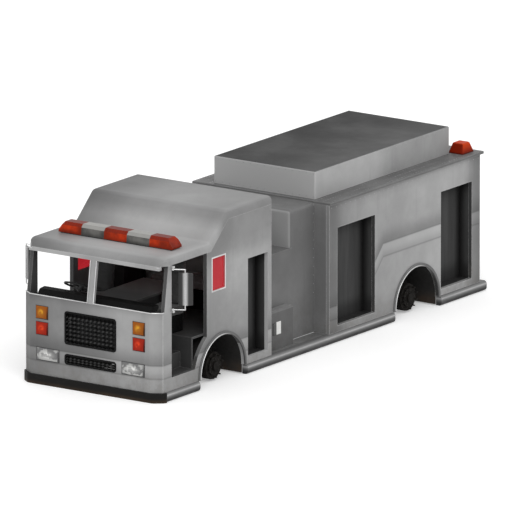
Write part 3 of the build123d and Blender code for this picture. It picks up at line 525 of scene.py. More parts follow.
def makeMirrorShell(look):
    s = newMaterial("mirrorShell")
    angle = math.radians(look["turn"])
    along = s.plus(s.times(s.minus(s.size(s.x), look["x"]), math.cos(angle)),
        s.times(s.minus(s.y, look["y"]), math.sin(angle)))
    sheen = s.remap(s.size(along), look["stripe"], 0.0)
    s.finish(s.mix(sheen, grey(look["dark"]), grey(look["bright"])),
        s.remap(s.noise(22.0, 4.0), 0.2, 0.8, 0.5, 0.38), Specular_IOR_Level=0.2)


darkBase = {"scale": 18.0, "warm": 0.0, "bump": 0.25, "metal": 0.0, "shine": 0.5}
darkLooks = {
    # hubs and their fittings are darkened past their metal's own colour: painted shade inside the wheel
    # arches
    "hubIron": {"tone": 0.010, "rough": 0.7, "scale": 12.0, "warm": 0.12, "bump": 0.4, "shine": 0.12},
    "hubSteel": {"tone": 0.025, "rough": 0.5, "scale": 30.0, "warm": 0.1, "bump": 0.3, "metal": 0.4,
                 "shine": 0.2},
    "grilleBlack": {"tone": 0.012, "rough": 0.42, "scale": 20.0, "bump": 0.15},
    "frameBlack": {"tone": 0.022, "rough": 0.6, "scale": 9.0, "warm": 0.05, "bump": 0.3},
    "barBase": {"tone": 0.02, "rough": 0.5},
    "dashPlastic": {"tone": 0.004, "rough": 0.6, "scale": 40.0, "bump": 0.4, "shine": 0.1},
    "wheelRubber": {"tone": 0.012, "rough": 0.5, "scale": 50.0},
    "tankPlastic": {"tone": 0.20, "rough": 0.6, "scale": 5.0},
    "radiatorMetal": {"tone": 0.09, "rough": 0.5, "scale": 25.0, "bump": 0.3, "metal": 0.6},
    "gasket": {"tone": 0.03, "rough": 0.7, "scale": 30.0},
}


def makeDark(name, changes):
    s = newMaterial(name)
    look = {**darkBase, **changes}
    tone, rough, warm = look["tone"], look["rough"], look["warm"]
    fine = s.noise(look["scale"], 5.0, 0.6)
    colour = s.mix(s.remap(fine, 0.3, 0.7), grey(tone * 0.7, warm), grey(tone * 1.3, warm))
    s.finish(colour, s.remap(fine, 0.2, 0.8, rough + 0.1, rough - 0.08),
        s.bump(s.noise(look["scale"] * 12), look["bump"], 0.0015), Metallic=look["metal"],
        Specular_IOR_Level=look["shine"])


ironLook = {"steel": (0.050, 0.048, 0.046, 1), "rust": (0.090, 0.042, 0.022, 1),
    "worn": (0.20, 0.20, 0.20, 1)}


def makeIron(look):
    s = newMaterial("chassisIron")
    wearAndSheen = s.use("weatherAndSheen", {"Patch Scale": 6.0, "Edge Width": 0.006})
    rust = s.remap(s.noise(11.0, 8.0, 0.7), 0.5, 0.68)
    # edges brightened by the edge mask: worn metal, with some painted highlight
    colour = s.mix(s.times(wearAndSheen["Edge Wear And Highlight"], 0.5), s.mix(rust, look["steel"], look["rust"]), look["worn"])
    s.finish(colour, s.remap(rust, 0, 1, 0.5, 0.85), s.bump(s.noise(160.0), 0.35, 0.002),
        Metallic=s.remap(rust, 0, 1, 0.45, 0.0))


wellLook = {"black": (0.012, 0.0112, 0.0105, 1), "brown": (0.040, 0.025, 0.015, 1), "brownTop": 0.25}


def makeWell(look):
    s = newMaterial("wellLining")
    mud = s.remap(s.noise(5.0, 7.0, 0.65), 0.3, 0.7)
    low = s.times(s.remap(s.z, look["brownTop"], 0.02), mud)
    s.finish(s.mix(low, look["black"], look["brown"]), s.remap(mud, 0, 1, 0.7, 0.92),
        s.bump(s.noise(40.0, 6.0), 0.5, 0.004))


# painted highlight and shade: the arch trim is bright along each arch's front half and darker behind
metalLooks = {
    "brightTube": {"tone": 0.78, "rough": 0.12},
    "trimMetal": {"tone": 0.82, "rough": 0.2},
    "archTrim": {"tone": 0.82, "rough": 0.25, "sweep": fromStations(
        (1000, 1.0), (1600, 0.85), (1800, 0.22), (2300, 0.12), (5900, 1.0), (6580, 0.85), (6780, 0.22),
        (7300, 0.12))},
}


def makeMetal(name, look):
    s = newMaterial(name)
    lines = s.noise(8.0, 4.0, 0.6, s.stretch((30, 30, 30)))
    colour = s.mix(s.remap(s.noise(3.0, 5.0), 0.35, 0.7), grey(look["tone"]), grey(look["tone"] * 0.78))
    # painted highlight and shade along the length
    if "sweep" in look:
        colour = s.mix(1.0, colour, s.ramp("Y", look["sweep"]), "MULTIPLY")
    s.finish(colour, s.line(lines, 0.3, look["rough"]), s.bump(lines, 0.08, 0.001), Metallic=1.0)


lensHalf = 0.0975
# x and z middles of the front pair and the rear pair
lensLooks = {
    "amberLens": {"tint": (0.52, 0.175, 0.012), "front": (0.8525, 1.0735), "rear": (0.895, 1.155)},
    "redLens": {"tint": (0.56, 0.030, 0.006), "front": (0.8525, 0.8355), "rear": (0.895, 0.975)},
}


def makeLens(name, look):
    s = newMaterial(name)
    (frontX, frontZ), (rearX, rearZ), tint = look["front"], look["rear"], look["tint"]
    behind = s.do("GREATER_THAN", s.y, 0.0)
    middle = s.times(s.line(behind, rearX - frontX, frontX), s.do("SIGN", s.x))
    face = s.use("lamp", {"Across": s.minus(s.x, middle), "Half Width": lensHalf,
        "Upward": s.minus(s.z, s.line(behind, rearZ - frontZ, frontZ)), "Half Height": lensHalf,
        "Flutes": 90.0})
    # painted reflection: a bright swirled bowl in the middle of each lens
    lit = s.times(face["Bowl"], s.line(face["Swirl"], 0.7, 0.3))
    colour = s.mix(lit, scaled(tint, 0.62, 0.5, 0.5), scaled(tint, 1.45, 2.1, 2.2))
    # painted shade towards one lower corner and along the rim there
    colour = s.mix(s.times(face["Shade"], 0.5), colour, scaled(tint, 0.45, 0.35, 0.3))
    colour = s.mix(s.times(face["Rim"], face["Shade"]), colour, scaled(tint, 0.12, 0.1, 0.1))
    s.finish(colour, 0.4, s.bump(face["Relief"], 0.35, 0.004), Coat_Weight=0.05, Coat_Roughness=0.06,
        Specular_IOR_Level=0.12)


# headlamps, and the step lamps on the sides, whose front part is painted in shade; the bright bowl and swirl
# are painted reflections
headLook = {"front": (0.7525, 0.4565), "half": (0.1975, 0.0915), "side": (atStation(3160), 0.465),
    "sideHalf": 0.1, "sideSplit": (0.0, -0.04), "sideFrom": -3.0, "bright": (0.80, 0.80, 0.78, 1),
    "mid": (0.42, 0.42, 0.41, 1), "dull": (0.15, 0.15, 0.15, 1)}


def makeClearLens(look):
    s = newMaterial("clearLens")
    (frontX, frontZ), (sideY, sideZ), (halfX, halfZ) = look["front"], look["side"], look["half"]
    onSide = s.do("GREATER_THAN", s.y, look["sideFrom"])
    alongX = s.minus(s.x, s.times(frontX, s.do("SIGN", s.x)))
    alongY = s.minus(s.y, sideY)
    across = s.out("ShaderNodeMix", {0: onSide, 2: alongX, 3: alongY}, data_type="FLOAT")
    face = s.use("lamp", {"Across": across, "Upward": s.minus(s.z, s.line(onSide, sideZ - frontZ, frontZ)),
        "Half Width": s.line(onSide, look["sideHalf"] - halfX, halfX), "Half Height": halfZ, "Flutes": 55.0})
    # painted reflections: a swirl and a bright bowl
    colour = s.mix(face["Swirl"], look["dull"], look["mid"])
    colour = s.mix(s.times(face["Bowl"], s.line(face["Swirl"], 0.6, 0.4)), colour, look["bright"])
    # painted shade on the rims of the front lamps
    rim = s.times(face["Rim"], s.line(face["Shade"], 0.6, 0.4))
    colour = s.mix(s.times(rim, s.minus(1.0, onSide)), colour, grey(0.05))
    # on the step lamps, painted shade over the front part
    colour = s.mix(onSide, colour, s.mix(s.remap(alongY, *look["sideSplit"]), look["bright"], grey(0.02)))
    s.finish(colour, 0.14, s.bump(face["Relief"], 0.5, 0.004), Coat_Weight=0.5, Coat_Roughness=0.05)


# the top colours are painted light on the clear lens and painted shade on the red
barLooks = {
    "barRed": {"body": (0.50, 0.034, 0.003), "top": (0.16, 0.010, 0.002, 1)},
    "barClear": {"body": (0.13, 0.127, 0.12), "top": (0.36, 0.355, 0.34, 1)},
}
barRibs = 22.0              # to a metre
# painted shade: the lens darkens towards its foot
barShadeHeights = (2.20, 2.13)      # heights between which the lens darkens


def makeBarLens(name, look):
    s = newMaterial(name)
    body = look["body"]
    colour = s.mix(s.remap(s.noise(4.0), 0.3, 0.7), scaled(body, 0.4), scaled(body, 1.25))
    # painted light and shade on the upward faces
    colour = s.mix(s.facing("Z", 0.3, 0.8), colour, look["top"])
    colour = s.mix(s.times(s.remap(s.z, *barShadeHeights), 0.75), colour, scaled(body, 0.3))
    ribs = s.do("SINE", s.times(s.x, barRibs * math.tau))
    s.finish(colour, 0.4, s.bump(ribs, 0.25, 0.003), Coat_Weight=0.05, Coat_Roughness=0.1,
        Specular_IOR_Level=0.12)


# painted light and shade on the beacons: bright towards the top, in shade on the front and at the foot, with
# highlights on the edges
beaconLook = {"bright": (0.54, 0.046, 0.005, 1), "deep": (0.20, 0.012, 0.002, 1),
    "foot": (0.06, 0.005, 0.002, 1), "edge": (0.75, 0.11, 0.02, 1), "low": 2.115, "high": 2.265,
    "rings": 260.0}


def makeBeacon(look):
    s = newMaterial("beaconLens")
    wearAndSheen = s.use("weatherAndSheen", {"Edge Width": 0.03})
    # painted light: brighter towards the top
    colour = s.mix(s.remap(s.z, look["low"], look["high"]), look["deep"], look["bright"])
    # painted highlight along the edges
    colour = s.mix(s.times(wearAndSheen["Edge Wear And Highlight"], 0.35), colour, look["edge"])
    # painted shade on forward faces and at the foot
    colour = s.mix(s.facing("Y", -0.3, -0.8), colour, look["deep"])
    colour = s.mix(s.remap(s.z, look["low"] + 0.03, look["low"]), colour, look["foot"])
    s.finish(colour, 0.45, s.bump(s.do("SINE", s.times(s.z, look["rings"])), 0.2, 0.003),
        Specular_IOR_Level=0.06)


paneLook = {"dark": (0.47, 0.016, 0.026, 1), "light": (0.53, 0.024, 0.034, 1), "glow": 0.7}


def makeRedPane(look):
    s = newMaterial("redPane")
    haze = s.remap(s.noise(3.0, 4.0), 0.3, 0.7)
    colour = s.mix(haze, look["dark"], look["light"])
    # painted light: the inner face glows red, standing in for daylight that shows through
    s.finish(colour, s.remap(haze, 0, 1, 0.36, 0.26), Specular_IOR_Level=0.2,
        Emission_Color=s.mix(s.use("lining")["Inside"], grey(0), colour), Emission_Strength=look["glow"])


fabricTones = {"seatFabric": 0.032, "benchFabric": 0.16}


def makeFabric(name, tone):
    s = newMaterial(name)
    warp, weft = [s.out("ShaderNodeTexWave", {"Vector": s.place, "Scale": 130.0}, "Fac",
        bands_direction=way) for way in "XZ"]
    cloth = s.do("MAXIMUM", warp, weft)
    worn = s.remap(s.noise(6.0, 5.0), 0.3, 0.75)
    colour = s.mix(cloth, grey(tone * 0.6), grey(tone * 1.15))
    colour = s.mix(s.times(worn, 0.4), colour, grey(tone * 1.8, 0.03))
    s.finish(colour, 0.88, s.bump(cloth, 0.3, 0.0015), Sheen_Weight=0.25, Sheen_Roughness=0.5)


treadLook = {"tone": 0.42, "grime": (0.055, 0.050, 0.045, 1)}


def makeTread(look):
    s = newMaterial("treadAluminium")
    grime = s.remap(s.noise(4.0, 6.0, 0.68), 0.42, 0.66)
    lines = s.noise(6.0, vector=s.stretch((4, 60, 60)))
    s.finish(s.mix(s.times(grime, 0.75), grey(look["tone"]), look["grime"]), s.line(lines, 0.3, 0.28),
        s.bump(lines, 0.1, 0.001), Metallic=s.remap(grime, 0, 1, 0.9, 0.2))


glassLook = {"clean": 0.82, "dusty": 0.68}


def makeMirrorGlass(look):
    s = newMaterial("mirrorGlass")
    dust = s.remap(s.noise(25.0, 4.0), 0.4, 0.8)
    s.finish(s.mix(dust, grey(look["clean"]), grey(look["dusty"])), s.remap(dust, 0, 1, 0.03, 0.12),
        Metallic=1.0)


for make, looks in ((makePaint, paintLooks), (makeDark, darkLooks), (makeMetal, metalLooks),
        (makeLens, lensLooks), (makeBarLens, barLooks), (makeFabric, fabricTones)):
    for matName, matLook in looks.items():
        make(matName, matLook)
for make, matLook in ((makeRail, railLightStops), (makeBumper, bumperLook), (makeLocker, lockerLook),
        (makeBlades, bladeLook), (makeMirrorShell, shellLook), (makeIron, ironLook), (makeWell, wellLook),
        (makeClearLens, headLook), (makeBeacon, beaconLook), (makeRedPane, paneLook), (makeTread, treadLook),
        (makeMirrorGlass, glassLook)):
    make(matLook)

dressing = {
    "frontPaint": "cab_front_panel", "sidePaint": "cab_side_left cab_side_right", "roofPaint": "cab_roof",
    "framePaint": "windscreen_frame", "rearWallPaint": "cab_rear_wall", "pumpPaint": "pump_module",
    "stepBoxPaint": "step_boxes", "bodyPaint": "body_side_left body_side_right",
    "endWallPaint": "body_end_walls", "deckPaint": "body_deck", "boxPaint": "roof_box",
    "railPaint": "side_sills", "lipPaint": "arch_lips", "bumperBlack": "front_bumper",
    "grilleBlades": "grilles", "frameBlack": "frame_rails", "barBase": "lightbar_base",
    "floorPaint": "cab_floor", "coverPaint": "engine_cover", "dashPlastic": "dashboard",
    "wheelRubber": "steering_wheel", "lockerMetal": "locker_boxes", "tankPlastic": "water_tank",
    "radiatorMetal": "radiator", "wellLining": "wheel_wells",
    "chassisIron": "front_axle_beam rear_axle_housing knuckle_left knuckle_right leaf_springs "
                   "engine tie_rod drive_shaft",
    "hubIron": "hub_front_left hub_front_right hub_rear_left hub_rear_right",
    "brightTube": "mirror_brackets mirror_arm_left mirror_arm_right",
    "mirrorShell": "mirror_head_left mirror_head_right", "treadAluminium": "running_boards rear_step",
    "clearLens": "clear_lamps", "barRed": "lightbar_red", "barClear": "lightbar_clear",
    "beaconLens": "beacons", "redPane": "side_windows", "amberLens": "amber_lamps", "redLens": "red_lamps",
    "seatFabric": "front_seats", "benchFabric": "crew_bench",
}
for matName, nodeNames in dressing.items():
    for nodeName in nodeNames.split():
        slots = nodes[nodeName].data.materials
        slots.clear()
        slots.append(materials[matName])
print("materials on", sum(len(v.split()) for v in dressing.values()), "nodes")


# piece makers

def addPiece(name, mesh, matName, body="chassis", smooth=False):
    mesh.name = name
    if not mesh.materials:
        mesh.materials.append(materials[matName])
    if smooth:
        mesh.polygons.foreach_set("use_smooth", [True] * len(mesh.polygons))
    piece = linkNew(name, mesh)
    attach(piece, body)
    return piece


def plainMesh(bm):
    mesh = bpy.data.meshes.new("draft")
    bm.to_mesh(mesh)
    bm.free()
    return mesh


def meshFrom(bm, bevel=0.0, segments=2):
    if bevel:
        bmesh.ops.bevel(bm, geom=list(bm.edges), offset=bevel, segments=segments, profile=0.6, affect="EDGES",
            clamp_overlap=True)
    bmesh.ops.recalc_face_normals(bm, faces=list(bm.faces))
    return plainMesh(bm)


def joinMeshes(meshes):
    bm = bmesh.new()
    for mesh in meshes:
        bm.from_mesh(mesh)
        bpy.data.meshes.remove(mesh)
    return plainMesh(bm)


def evaluatedMesh(carrier):
    return bpy.data.meshes.new_from_object(carrier.evaluated_get(bpy.context.evaluated_depsgraph_get()))


def addBox(bm, low, high):
    middle = [(a + b) / 2 for a, b in zip(low, high)]
    size = [b - a for a, b in zip(low, high)]
    bmesh.ops.create_cube(bm, size=1, matrix=Matrix.Translation(middle) @ Matrix.Diagonal(size + [1]))


def addFrame(bm, toPoint, u0, u1, v0, v1, width, d0, d1):
    outer = [(u0, v0), (u1, v0), (u1, v1), (u0, v1)]
    inner = [(u0 + width, v0 + width), (u1 - width, v0 + width), (u1 - width, v1 - width),
        (u0 + width, v1 - width)]
    rings = [[bm.verts.new(toPoint(u, v, d)) for u, v in loop] for d in (d0, d1) for loop in (outer, inner)]
    nearOut, nearIn, farOut, farIn = rings
    for i in range(4):
        j = (i + 1) % 4
        for a, b in ((nearOut, nearIn), (nearIn, farIn), (farIn, farOut), (farOut, nearOut)):
            bm.faces.new((a[i], a[j], b[j], b[i]))


def makeBlock(profile, x0, x1, inset=0.0, corner=0.0):
    middle = [sum(p[i] for p in profile) / len(profile) for i in (0, 1)]
    bm = bmesh.new()
    rings = []
    for x in (x0 + inset, x1 - inset):
        ring = [(y + math.copysign(inset, middle[0] - y), z + math.copysign(inset, middle[1] - z))
            for y, z in profile]
        rings.append([bm.verts.new((x, y, z)) for y, z in ring])
    for i in range(len(profile)):
        j = (i + 1) % len(profile)
        bm.faces.new((rings[0][i], rings[0][j], rings[1][j], rings[1][i]))
    for ring in rings:
        bm.faces.new(ring)
    return meshFrom(bm, corner, 3)


# geometry trees for what repeats or follows a path

def newTree(name, inputs):
    tree = bpy.data.node_groups.new(name, "GeometryNodeTree")
    for way in ("INPUT", "OUTPUT"):
        tree.interface.new_socket("Geometry", in_out=way, socket_type="NodeSocketGeometry")
    paint = tree.interface.new_socket("Material", in_out="INPUT", socket_type="NodeSocketMaterial")
    keys, start = addInputs(tree, inputs)
    return nodeSheet(tree), start, {**keys, "Material": paint.identifier}


def closeTree(t, start, geometry):
    real = t.out("GeometryNodeRealizeInstances", {"Geometry": geometry})
    done = t.out("GeometryNodeSetMaterial", {"Geometry": real, "Material": start["Material"]})
    t.node("NodeGroupOutput", {0: done})
    return t.tree


def buildBeadTree():
    t, start, keys = newTree("trimBead", {"Radius": 0.008, "Sides": 8})
    line = t.out("GeometryNodeMeshToCurve", {"Mesh": start["Geometry"]})
    section = t.out("GeometryNodeCurvePrimitiveCircle", {"Resolution": start["Sides"],
        "Radius": start["Radius"]})
    tube = t.out("GeometryNodeCurveToMesh", {"Curve": line, "Profile Curve": section, "Fill Caps": True})
    return closeTree(t, start, tube), keys


def buildHeadTree():
    t, start, keys = newTree("fixingHeads", {"Radius": 0.01, "Depth": 0.008, "Sides": 6,
        "Turn": (0.0, 0.0, 0.0), "Taper": 0.72})
    head = t.out("GeometryNodeMeshCone", {"Vertices": start["Sides"], "Depth": start["Depth"],
        "Radius Bottom": start["Radius"], "Radius Top": t.times(start["Radius"], start["Taper"])}, "Mesh")
    euler = t.out("FunctionNodeEulerToRotation", {0: start["Turn"]})
    many = t.out("GeometryNodeInstanceOnPoints", {"Points": start["Geometry"], "Instance": head,
        "Rotation": euler})
    return closeTree(t, start, many), keys


def buildTreadTree():
    t, start, keys = newTree("treadLugs", {"Size X": 1.0, "Size Y": 1.0, "Count X": 5, "Count Y": 5,
        "Middle": (0.0, 0.0, 0.0), "Lug": 0.02, "Shape": (1.0, 0.36, 0.16)})
    grid = t.out("GeometryNodeMeshGrid", {"Size X": start["Size X"], "Size Y": start["Size Y"],
        "Vertices X": start["Count X"], "Vertices Y": start["Count Y"]}, "Mesh")
    # neighbouring lugs lean to opposite sides
    index = t.out("GeometryNodeInputIndex")
    column = t.do("FLOOR", t.do("DIVIDE", index, start["Count Y"]))
    odd = t.do("MODULO", t.plus(index, column), 2.0)
    spin = t.out("ShaderNodeCombineXYZ", {"Z": t.line(odd, math.pi / 2, math.pi / 4)})
    euler = t.out("FunctionNodeEulerToRotation", {0: spin})
    lug = t.out("GeometryNodeMeshCone", {"Vertices": 6, "Radius Top": 0.5, "Radius Bottom": 1.0,
        "Depth": 1.0}, "Mesh")
    size = t.out("ShaderNodeVectorMath", {0: start["Shape"], "Scale": start["Lug"]}, operation="SCALE")
    many = t.out("GeometryNodeInstanceOnPoints", {"Points": grid, "Instance": lug, "Rotation": euler,
        "Scale": size})
    placed = t.out("GeometryNodeTransform", {"Geometry": many, "Translation": start["Middle"]})
    return closeTree(t, start, placed), keys


def buildScreenTree():
    t, start, keys = newTree("wireScreen", {"Width": 0.8, "Height": 0.4, "Columns": 30, "Rows": 16,
        "Wire": 0.003, "Middle": (0.0, 0.0, 0.0)})
    grid = t.out("GeometryNodeMeshGrid", {"Size X": start["Width"], "Size Y": start["Height"],
        "Vertices X": start["Columns"], "Vertices Y": start["Rows"]}, "Mesh")
    line = t.out("GeometryNodeMeshToCurve", {"Mesh": grid})
    section = t.out("GeometryNodeCurvePrimitiveCircle", {"Resolution": 4, "Radius": start["Wire"]})
    wires = t.out("GeometryNodeCurveToMesh", {"Curve": line, "Profile Curve": section})
    placed = t.out("GeometryNodeTransform", {"Geometry": wires, "Translation": start["Middle"],
        "Rotation": (math.pi / 2, 0, 0)})
    return closeTree(t, start, placed), keys


trees = {"bead": buildBeadTree(), "heads": buildHeadTree(), "tread": buildTreadTree(),
    "screen": buildScreenTree()}


def growMesh(key, values, matName, points=(), edges=()):
    seed = bpy.data.meshes.new("seed")
    seed.from_pydata(list(points), list(edges), [])
    carrier = linkNew("seed", seed)
    tree, keys = trees[key]
    mod = carrier.modifiers.new("grow", "NODES")
    mod.node_group = tree
    mod[keys["Material"]] = materials[matName]
    for label, value in values.items():
        mod[keys[label]] = value
    mesh = evaluatedMesh(carrier)
    carrier.modifiers.remove(mod)
    bpy.data.objects.remove(carrier)
    bpy.data.meshes.remove(seed)
    return mesh


def growBead(paths, radius, matName, sides=8):
    points, edges = [], []
    for path, closed in paths:
        first = len(points)
        points += [tuple(p) for p in path]
        edges += [(first + i, first + i + 1) for i in range(len(path) - 1)]
        if closed:
            edges.append((len(points) - 1, first))
    return growMesh("bead", {"Radius": radius, "Sides": sides}, matName, points, edges)


def mirrored(paths):
    return paths + [([(-x, y, z) for x, y, z in path], closed) for path, closed in paths]


# seats and bench

padLook = {"voxel": 0.012, "pressure": 4.0, "frames": 20, "cap": 0.018, "inset": 0.012, "corner": 0.022,
    "groove": 0.009, "grooveWidth": 0.012}


def swellMesh(mesh, look, low, high, grooves):
    scene = bpy.context.scene
    carrier = linkNew("padDraft", mesh)
    even = carrier.modifiers.new("even", "REMESH")
    even.mode = "VOXEL"
    even.voxel_size = look["voxel"]
    smooth = evaluatedMesh(carrier)
    carrier.modifiers.remove(even)
    carrier.data = smooth
    cloth = carrier.modifiers.new("cloth", "CLOTH")
    cloth.settings.use_pressure = True
    cloth.settings.uniform_pressure_force = look["pressure"]
    cloth.settings.effector_weights.gravity = 0
    cloth.point_cache.frame_end = look["frames"]
    for step in range(1, look["frames"] + 1):
        scene.frame_set(step)
    swollen = evaluatedMesh(carrier)
    carrier.modifiers.remove(cloth)
    scene.frame_set(1)
    for vertex, moved in zip(smooth.vertices, swollen.vertices):
        shift = moved.co - vertex.co
        if shift.length > look["cap"]:
            shift *= look["cap"] / shift.length
        vertex.co += shift
    bpy.data.meshes.remove(swollen)
    normals = [v.normal.copy() for v in smooth.vertices]
    for vertex, normal in zip(smooth.vertices, normals):
        for axis, where in grooves:
            off = (vertex.co[axis] - where) / look["grooveWidth"]
            vertex.co -= normal * look["groove"] * math.exp(-off * off)
        for axis in range(3):
            vertex.co[axis] = min(max(vertex.co[axis], low[axis]), high[axis])
    finer = carrier.modifiers.new("finer", "SUBSURF")
    finer.levels = finer.render_levels = 1
    result = evaluatedMesh(carrier)
    carrier.modifiers.remove(finer)
    bpy.data.objects.remove(carrier)
    return result


def makePad(points, x0, x1, grooves, look):
    profile = fromStations(*points)
    low = (x0, min(p[0] for p in profile), min(p[1] for p in profile))
    high = (x1, max(p[0] for p in profile), max(p[1] for p in profile))
    return swellMesh(makeBlock(profile, x0, x1, look["inset"], look["corner"]), look, low, high, grooves)


# outlines from the side, as station and height
seatPlan = {
    "middle": 0.615,
    "cushion": ((720, 1.05), (1240, 1.05), (1240, 1.18), (720, 1.18)),
    "cushionHalf": 0.225,
    "seam": 0.085,
    "back": ((1140, 1.165), (1240, 1.165), (1320, 1.82), (1240, 1.82)),
    "backHalf": 0.205,
    "rolls": (1.33, 1.49, 1.65),
    "plinth": ((757, 0.80), (1203, 0.80), (1203, 1.05), (757, 1.05)),
    "plinthHalf": 0.188,
    "plinthCorner": 0.02,
    "fill": 0.8,
}

benchPlan = {
    "half": 0.565,
    "cushion": ((2245, 1.10), (2690, 1.10), (2690, 1.23), (2265, 1.23)),
    "back": ((2665, 1.215), (2825, 1.215), (2825, 1.85), (2715, 1.85)),
    "base": ((2325, 0.80), (2825, 0.80), (2825, 1.10), (2250, 1.10)),
    "baseHalf": 0.555,
    "baseCorner": 0.015,
    "seams": (-0.19, 0.19),
    "fill": 0.75,
}


def addPadPiece(name, mesh, matName, node):
    piece = addPiece(name, mesh, matName, smooth=True)
    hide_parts(node)


def sidedMesh(mesh, side):
    other = mesh.copy()
    if side == "right":
        other.transform(Matrix.Diagonal((-1, 1, 1, 1)))
        other.flip_normals()
    return other


def addSeats(s, look):
    x = s["middle"]
    seams = [(0, x - s["seam"]), (0, x + s["seam"])]
    cushion = makePad(s["cushion"], x - s["cushionHalf"], x + s["cushionHalf"], seams, look)
    back = makePad(s["back"], x - s["backHalf"], x + s["backHalf"], [(2, z) for z in s["rolls"]], look)
    plinth = makeBlock(fromStations(*s["plinth"]), x - s["plinthHalf"], x + s["plinthHalf"], 0.0,
        s["plinthCorner"])
    for side in ("left", "right"):
        for name, mesh in (("seatCushion", cushion), ("seatBack", back)):
            addPadPiece(f"{name}.{side}", sidedMesh(mesh, side), "seatFabric", "front_seats")
        base = addPiece(f"seatPlinth.{side}", sidedMesh(plinth, side), "dashPlastic")
        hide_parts("front_seats")


def addBench(b, look):
    seams = [(0, x) for x in b["seams"]]
    for name in ("cushion", "back"):
        addPadPiece(f"bench{name.title()}", makePad(b[name], -b["half"], b["half"], seams, look),
            "benchFabric", "crew_bench")
    block = makeBlock(fromStations(*b["base"]), -b["baseHalf"], b["baseHalf"], 0.0, b["baseCorner"])
    base = addPiece("benchBase", block, "dashPlastic")
    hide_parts("crew_bench")


addSeats(seatPlan, padLook)
addBench(benchPlan, padLook)
print("seats and bench padded")


# front of the cab

dashCowl = {"half": 1.0, "corner": 0.012,
    "profile": ((95, 1.3055), (165, 1.385), (285, 1.396), (322, 1.374), (305, 1.340), (282, 1.3055))}


def addDashCowl(c):
    block = makeBlock(fromStations(*c["profile"]), -c["half"], c["half"], 0.0, c["corner"])
    addPiece("dashCowl", block, "dashPlastic")


# the bead runs down the centre pillar, along the belt and up the corner post
screenTrim = {"bead": 0.0085, "pillarX": 0.052, "headerDrop": 0.055, "lean": 0.1, "proud": 0.0034,
    "flatX": 1.06, "edgeX": 1.203, "edge": 116, "postX": 1.2, "postFoot": 170, "postHead": 259,
    "postDrop": 0.02}


def addScreenTrim(t):
    low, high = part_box("cab_front_panel")
    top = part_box("windscreen_frame")[1].z
    r = t["bead"]
    header = top - t["headerDrop"]
    headerY = low.y + t["lean"] * (header - high.z) / (top - high.z)
    frontY, belt = low.y - t["proud"], high.z + r
    path = [(t["pillarX"], headerY - r, header), (t["pillarX"], frontY, belt), (t["flatX"], frontY, belt),
        (t["edgeX"], atStation(t["edge"]), belt), (t["postX"], atStation(t["postFoot"]), belt),
        (t["postX"], atStation(t["postHead"]), top - t["postDrop"])]
    mesh = growBead(mirrored([(path, False)]), r, "trimMetal")
    addPiece("windscreenTrim", mesh, "trimMetal", smooth=True)


# for each pair of lamps: x and z of the middle, half width, half height
lampTrim = {"rim": 0.008, "proud": 0.004, "bed": 0.002, "margin": 0.006,
    "front": ((0.8525, 1.0735, 0.1025, 0.0935), (0.8525, 0.8355, 0.1025, 0.0935),
        (0.7525, 0.4565, 0.1975, 0.0915)),
    "rear": ((0.895, 0.975, 0.075, 0.075), (0.895, 1.155, 0.075, 0.075))}


def addLampTrim(t):
    bm = bmesh.new()
    front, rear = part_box("cab_front_panel")[0].y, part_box("body_end_walls")[1].y
    for end, y0, y1 in (("front", front - t["proud"], front + t["bed"]),
            ("rear", rear - t["bed"], rear + t["proud"])):
        for x, z, halfX, halfZ in t[end]:
            wide, tall = halfX + t["margin"], halfZ + t["margin"]
            for middle in (-x, x):
                addFrame(bm, lambda u, v, d: (u, d, v), middle - wide, middle + wide, z - tall, z + tall,
                    t["rim"], y0, y1)
    addPiece("lampGaskets", meshFrom(bm), "gasket")


# for each screen: the opening's foot and height
grilleScreen = {"wire": 0.0032, "pitch": 0.022, "depth": 0.052, "width": 0.86, "margin": 0.05,
    "openings": ((0.66, 0.495), (0.36, 0.16))}


def addGrilleScreen(g):
    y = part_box("cab_front_panel")[0].y + g["depth"]
    wide = g["width"]
    meshes = []
    for low, height in g["openings"]:
        tall = height - g["margin"]
        meshes.append(growMesh("screen", {"Width": wide, "Height": tall,
            "Columns": int(wide / g["pitch"]) + 1, "Rows": int(tall / g["pitch"]) + 1, "Wire": g["wire"],
            "Middle": (0.0, y, low + height / 2)}, "grilleBlack"))
    addPiece("grilleScreen", joinMeshes(meshes), "grilleBlack")


addDashCowl(dashCowl)
addScreenTrim(screenTrim)
addLampTrim(lampTrim)
addGrilleScreen(grilleScreen)
print("front trim added")


# arches, windows and treads

archBead = {"radius": 0.56, "bead": 0.011, "segments": 28, "outX": 1.226}


def addArchBeads(a):
    paths = []
    for station in (truck["frontAxle"], truck["rearAxle"]):
        angles = [math.pi * i / a["segments"] for i in range(a["segments"] + 1)]
        paths.append(([(a["outX"], atStation(station) - a["radius"] * math.cos(angle),
            truck["archZ"] + a["radius"] * math.sin(angle)) for angle in angles], False))
    mesh = growBead(mirrored(paths), a["bead"], "archTrim")
    addPiece("archBeads", mesh, "archTrim", smooth=True)


paneFrame = {"width": 0.022, "depth": 0.034, "proud": 0.002, "corner": 0.003}


def addPaneFrames(p):
    low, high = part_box("side_windows")
    bm = bmesh.new()
    for side in (-1, 1):
        out = side * (truck["sideX"] + p["proud"])
        addFrame(bm, lambda u, v, d: (d, u, v), low.y, high.y, low.z, high.z, p["width"],
            out - side * p["depth"], out)
    addPiece("paneFrames", meshFrom(bm, p["corner"], 1), "trimMetal")


treadPlan = {"lug": 0.017, "pitch": 0.045, "rise": 0.0012, "boardX": (0.965, 1.13), "boardEdge": 0.02,
    "stepEdge": 0.03, "stepFront": 0.05}
deckPlan = {"lug": 0.02, "pitch": 0.06, "rise": 0.0012, "sideEdge": 0.05, "endEdge": 0.06}


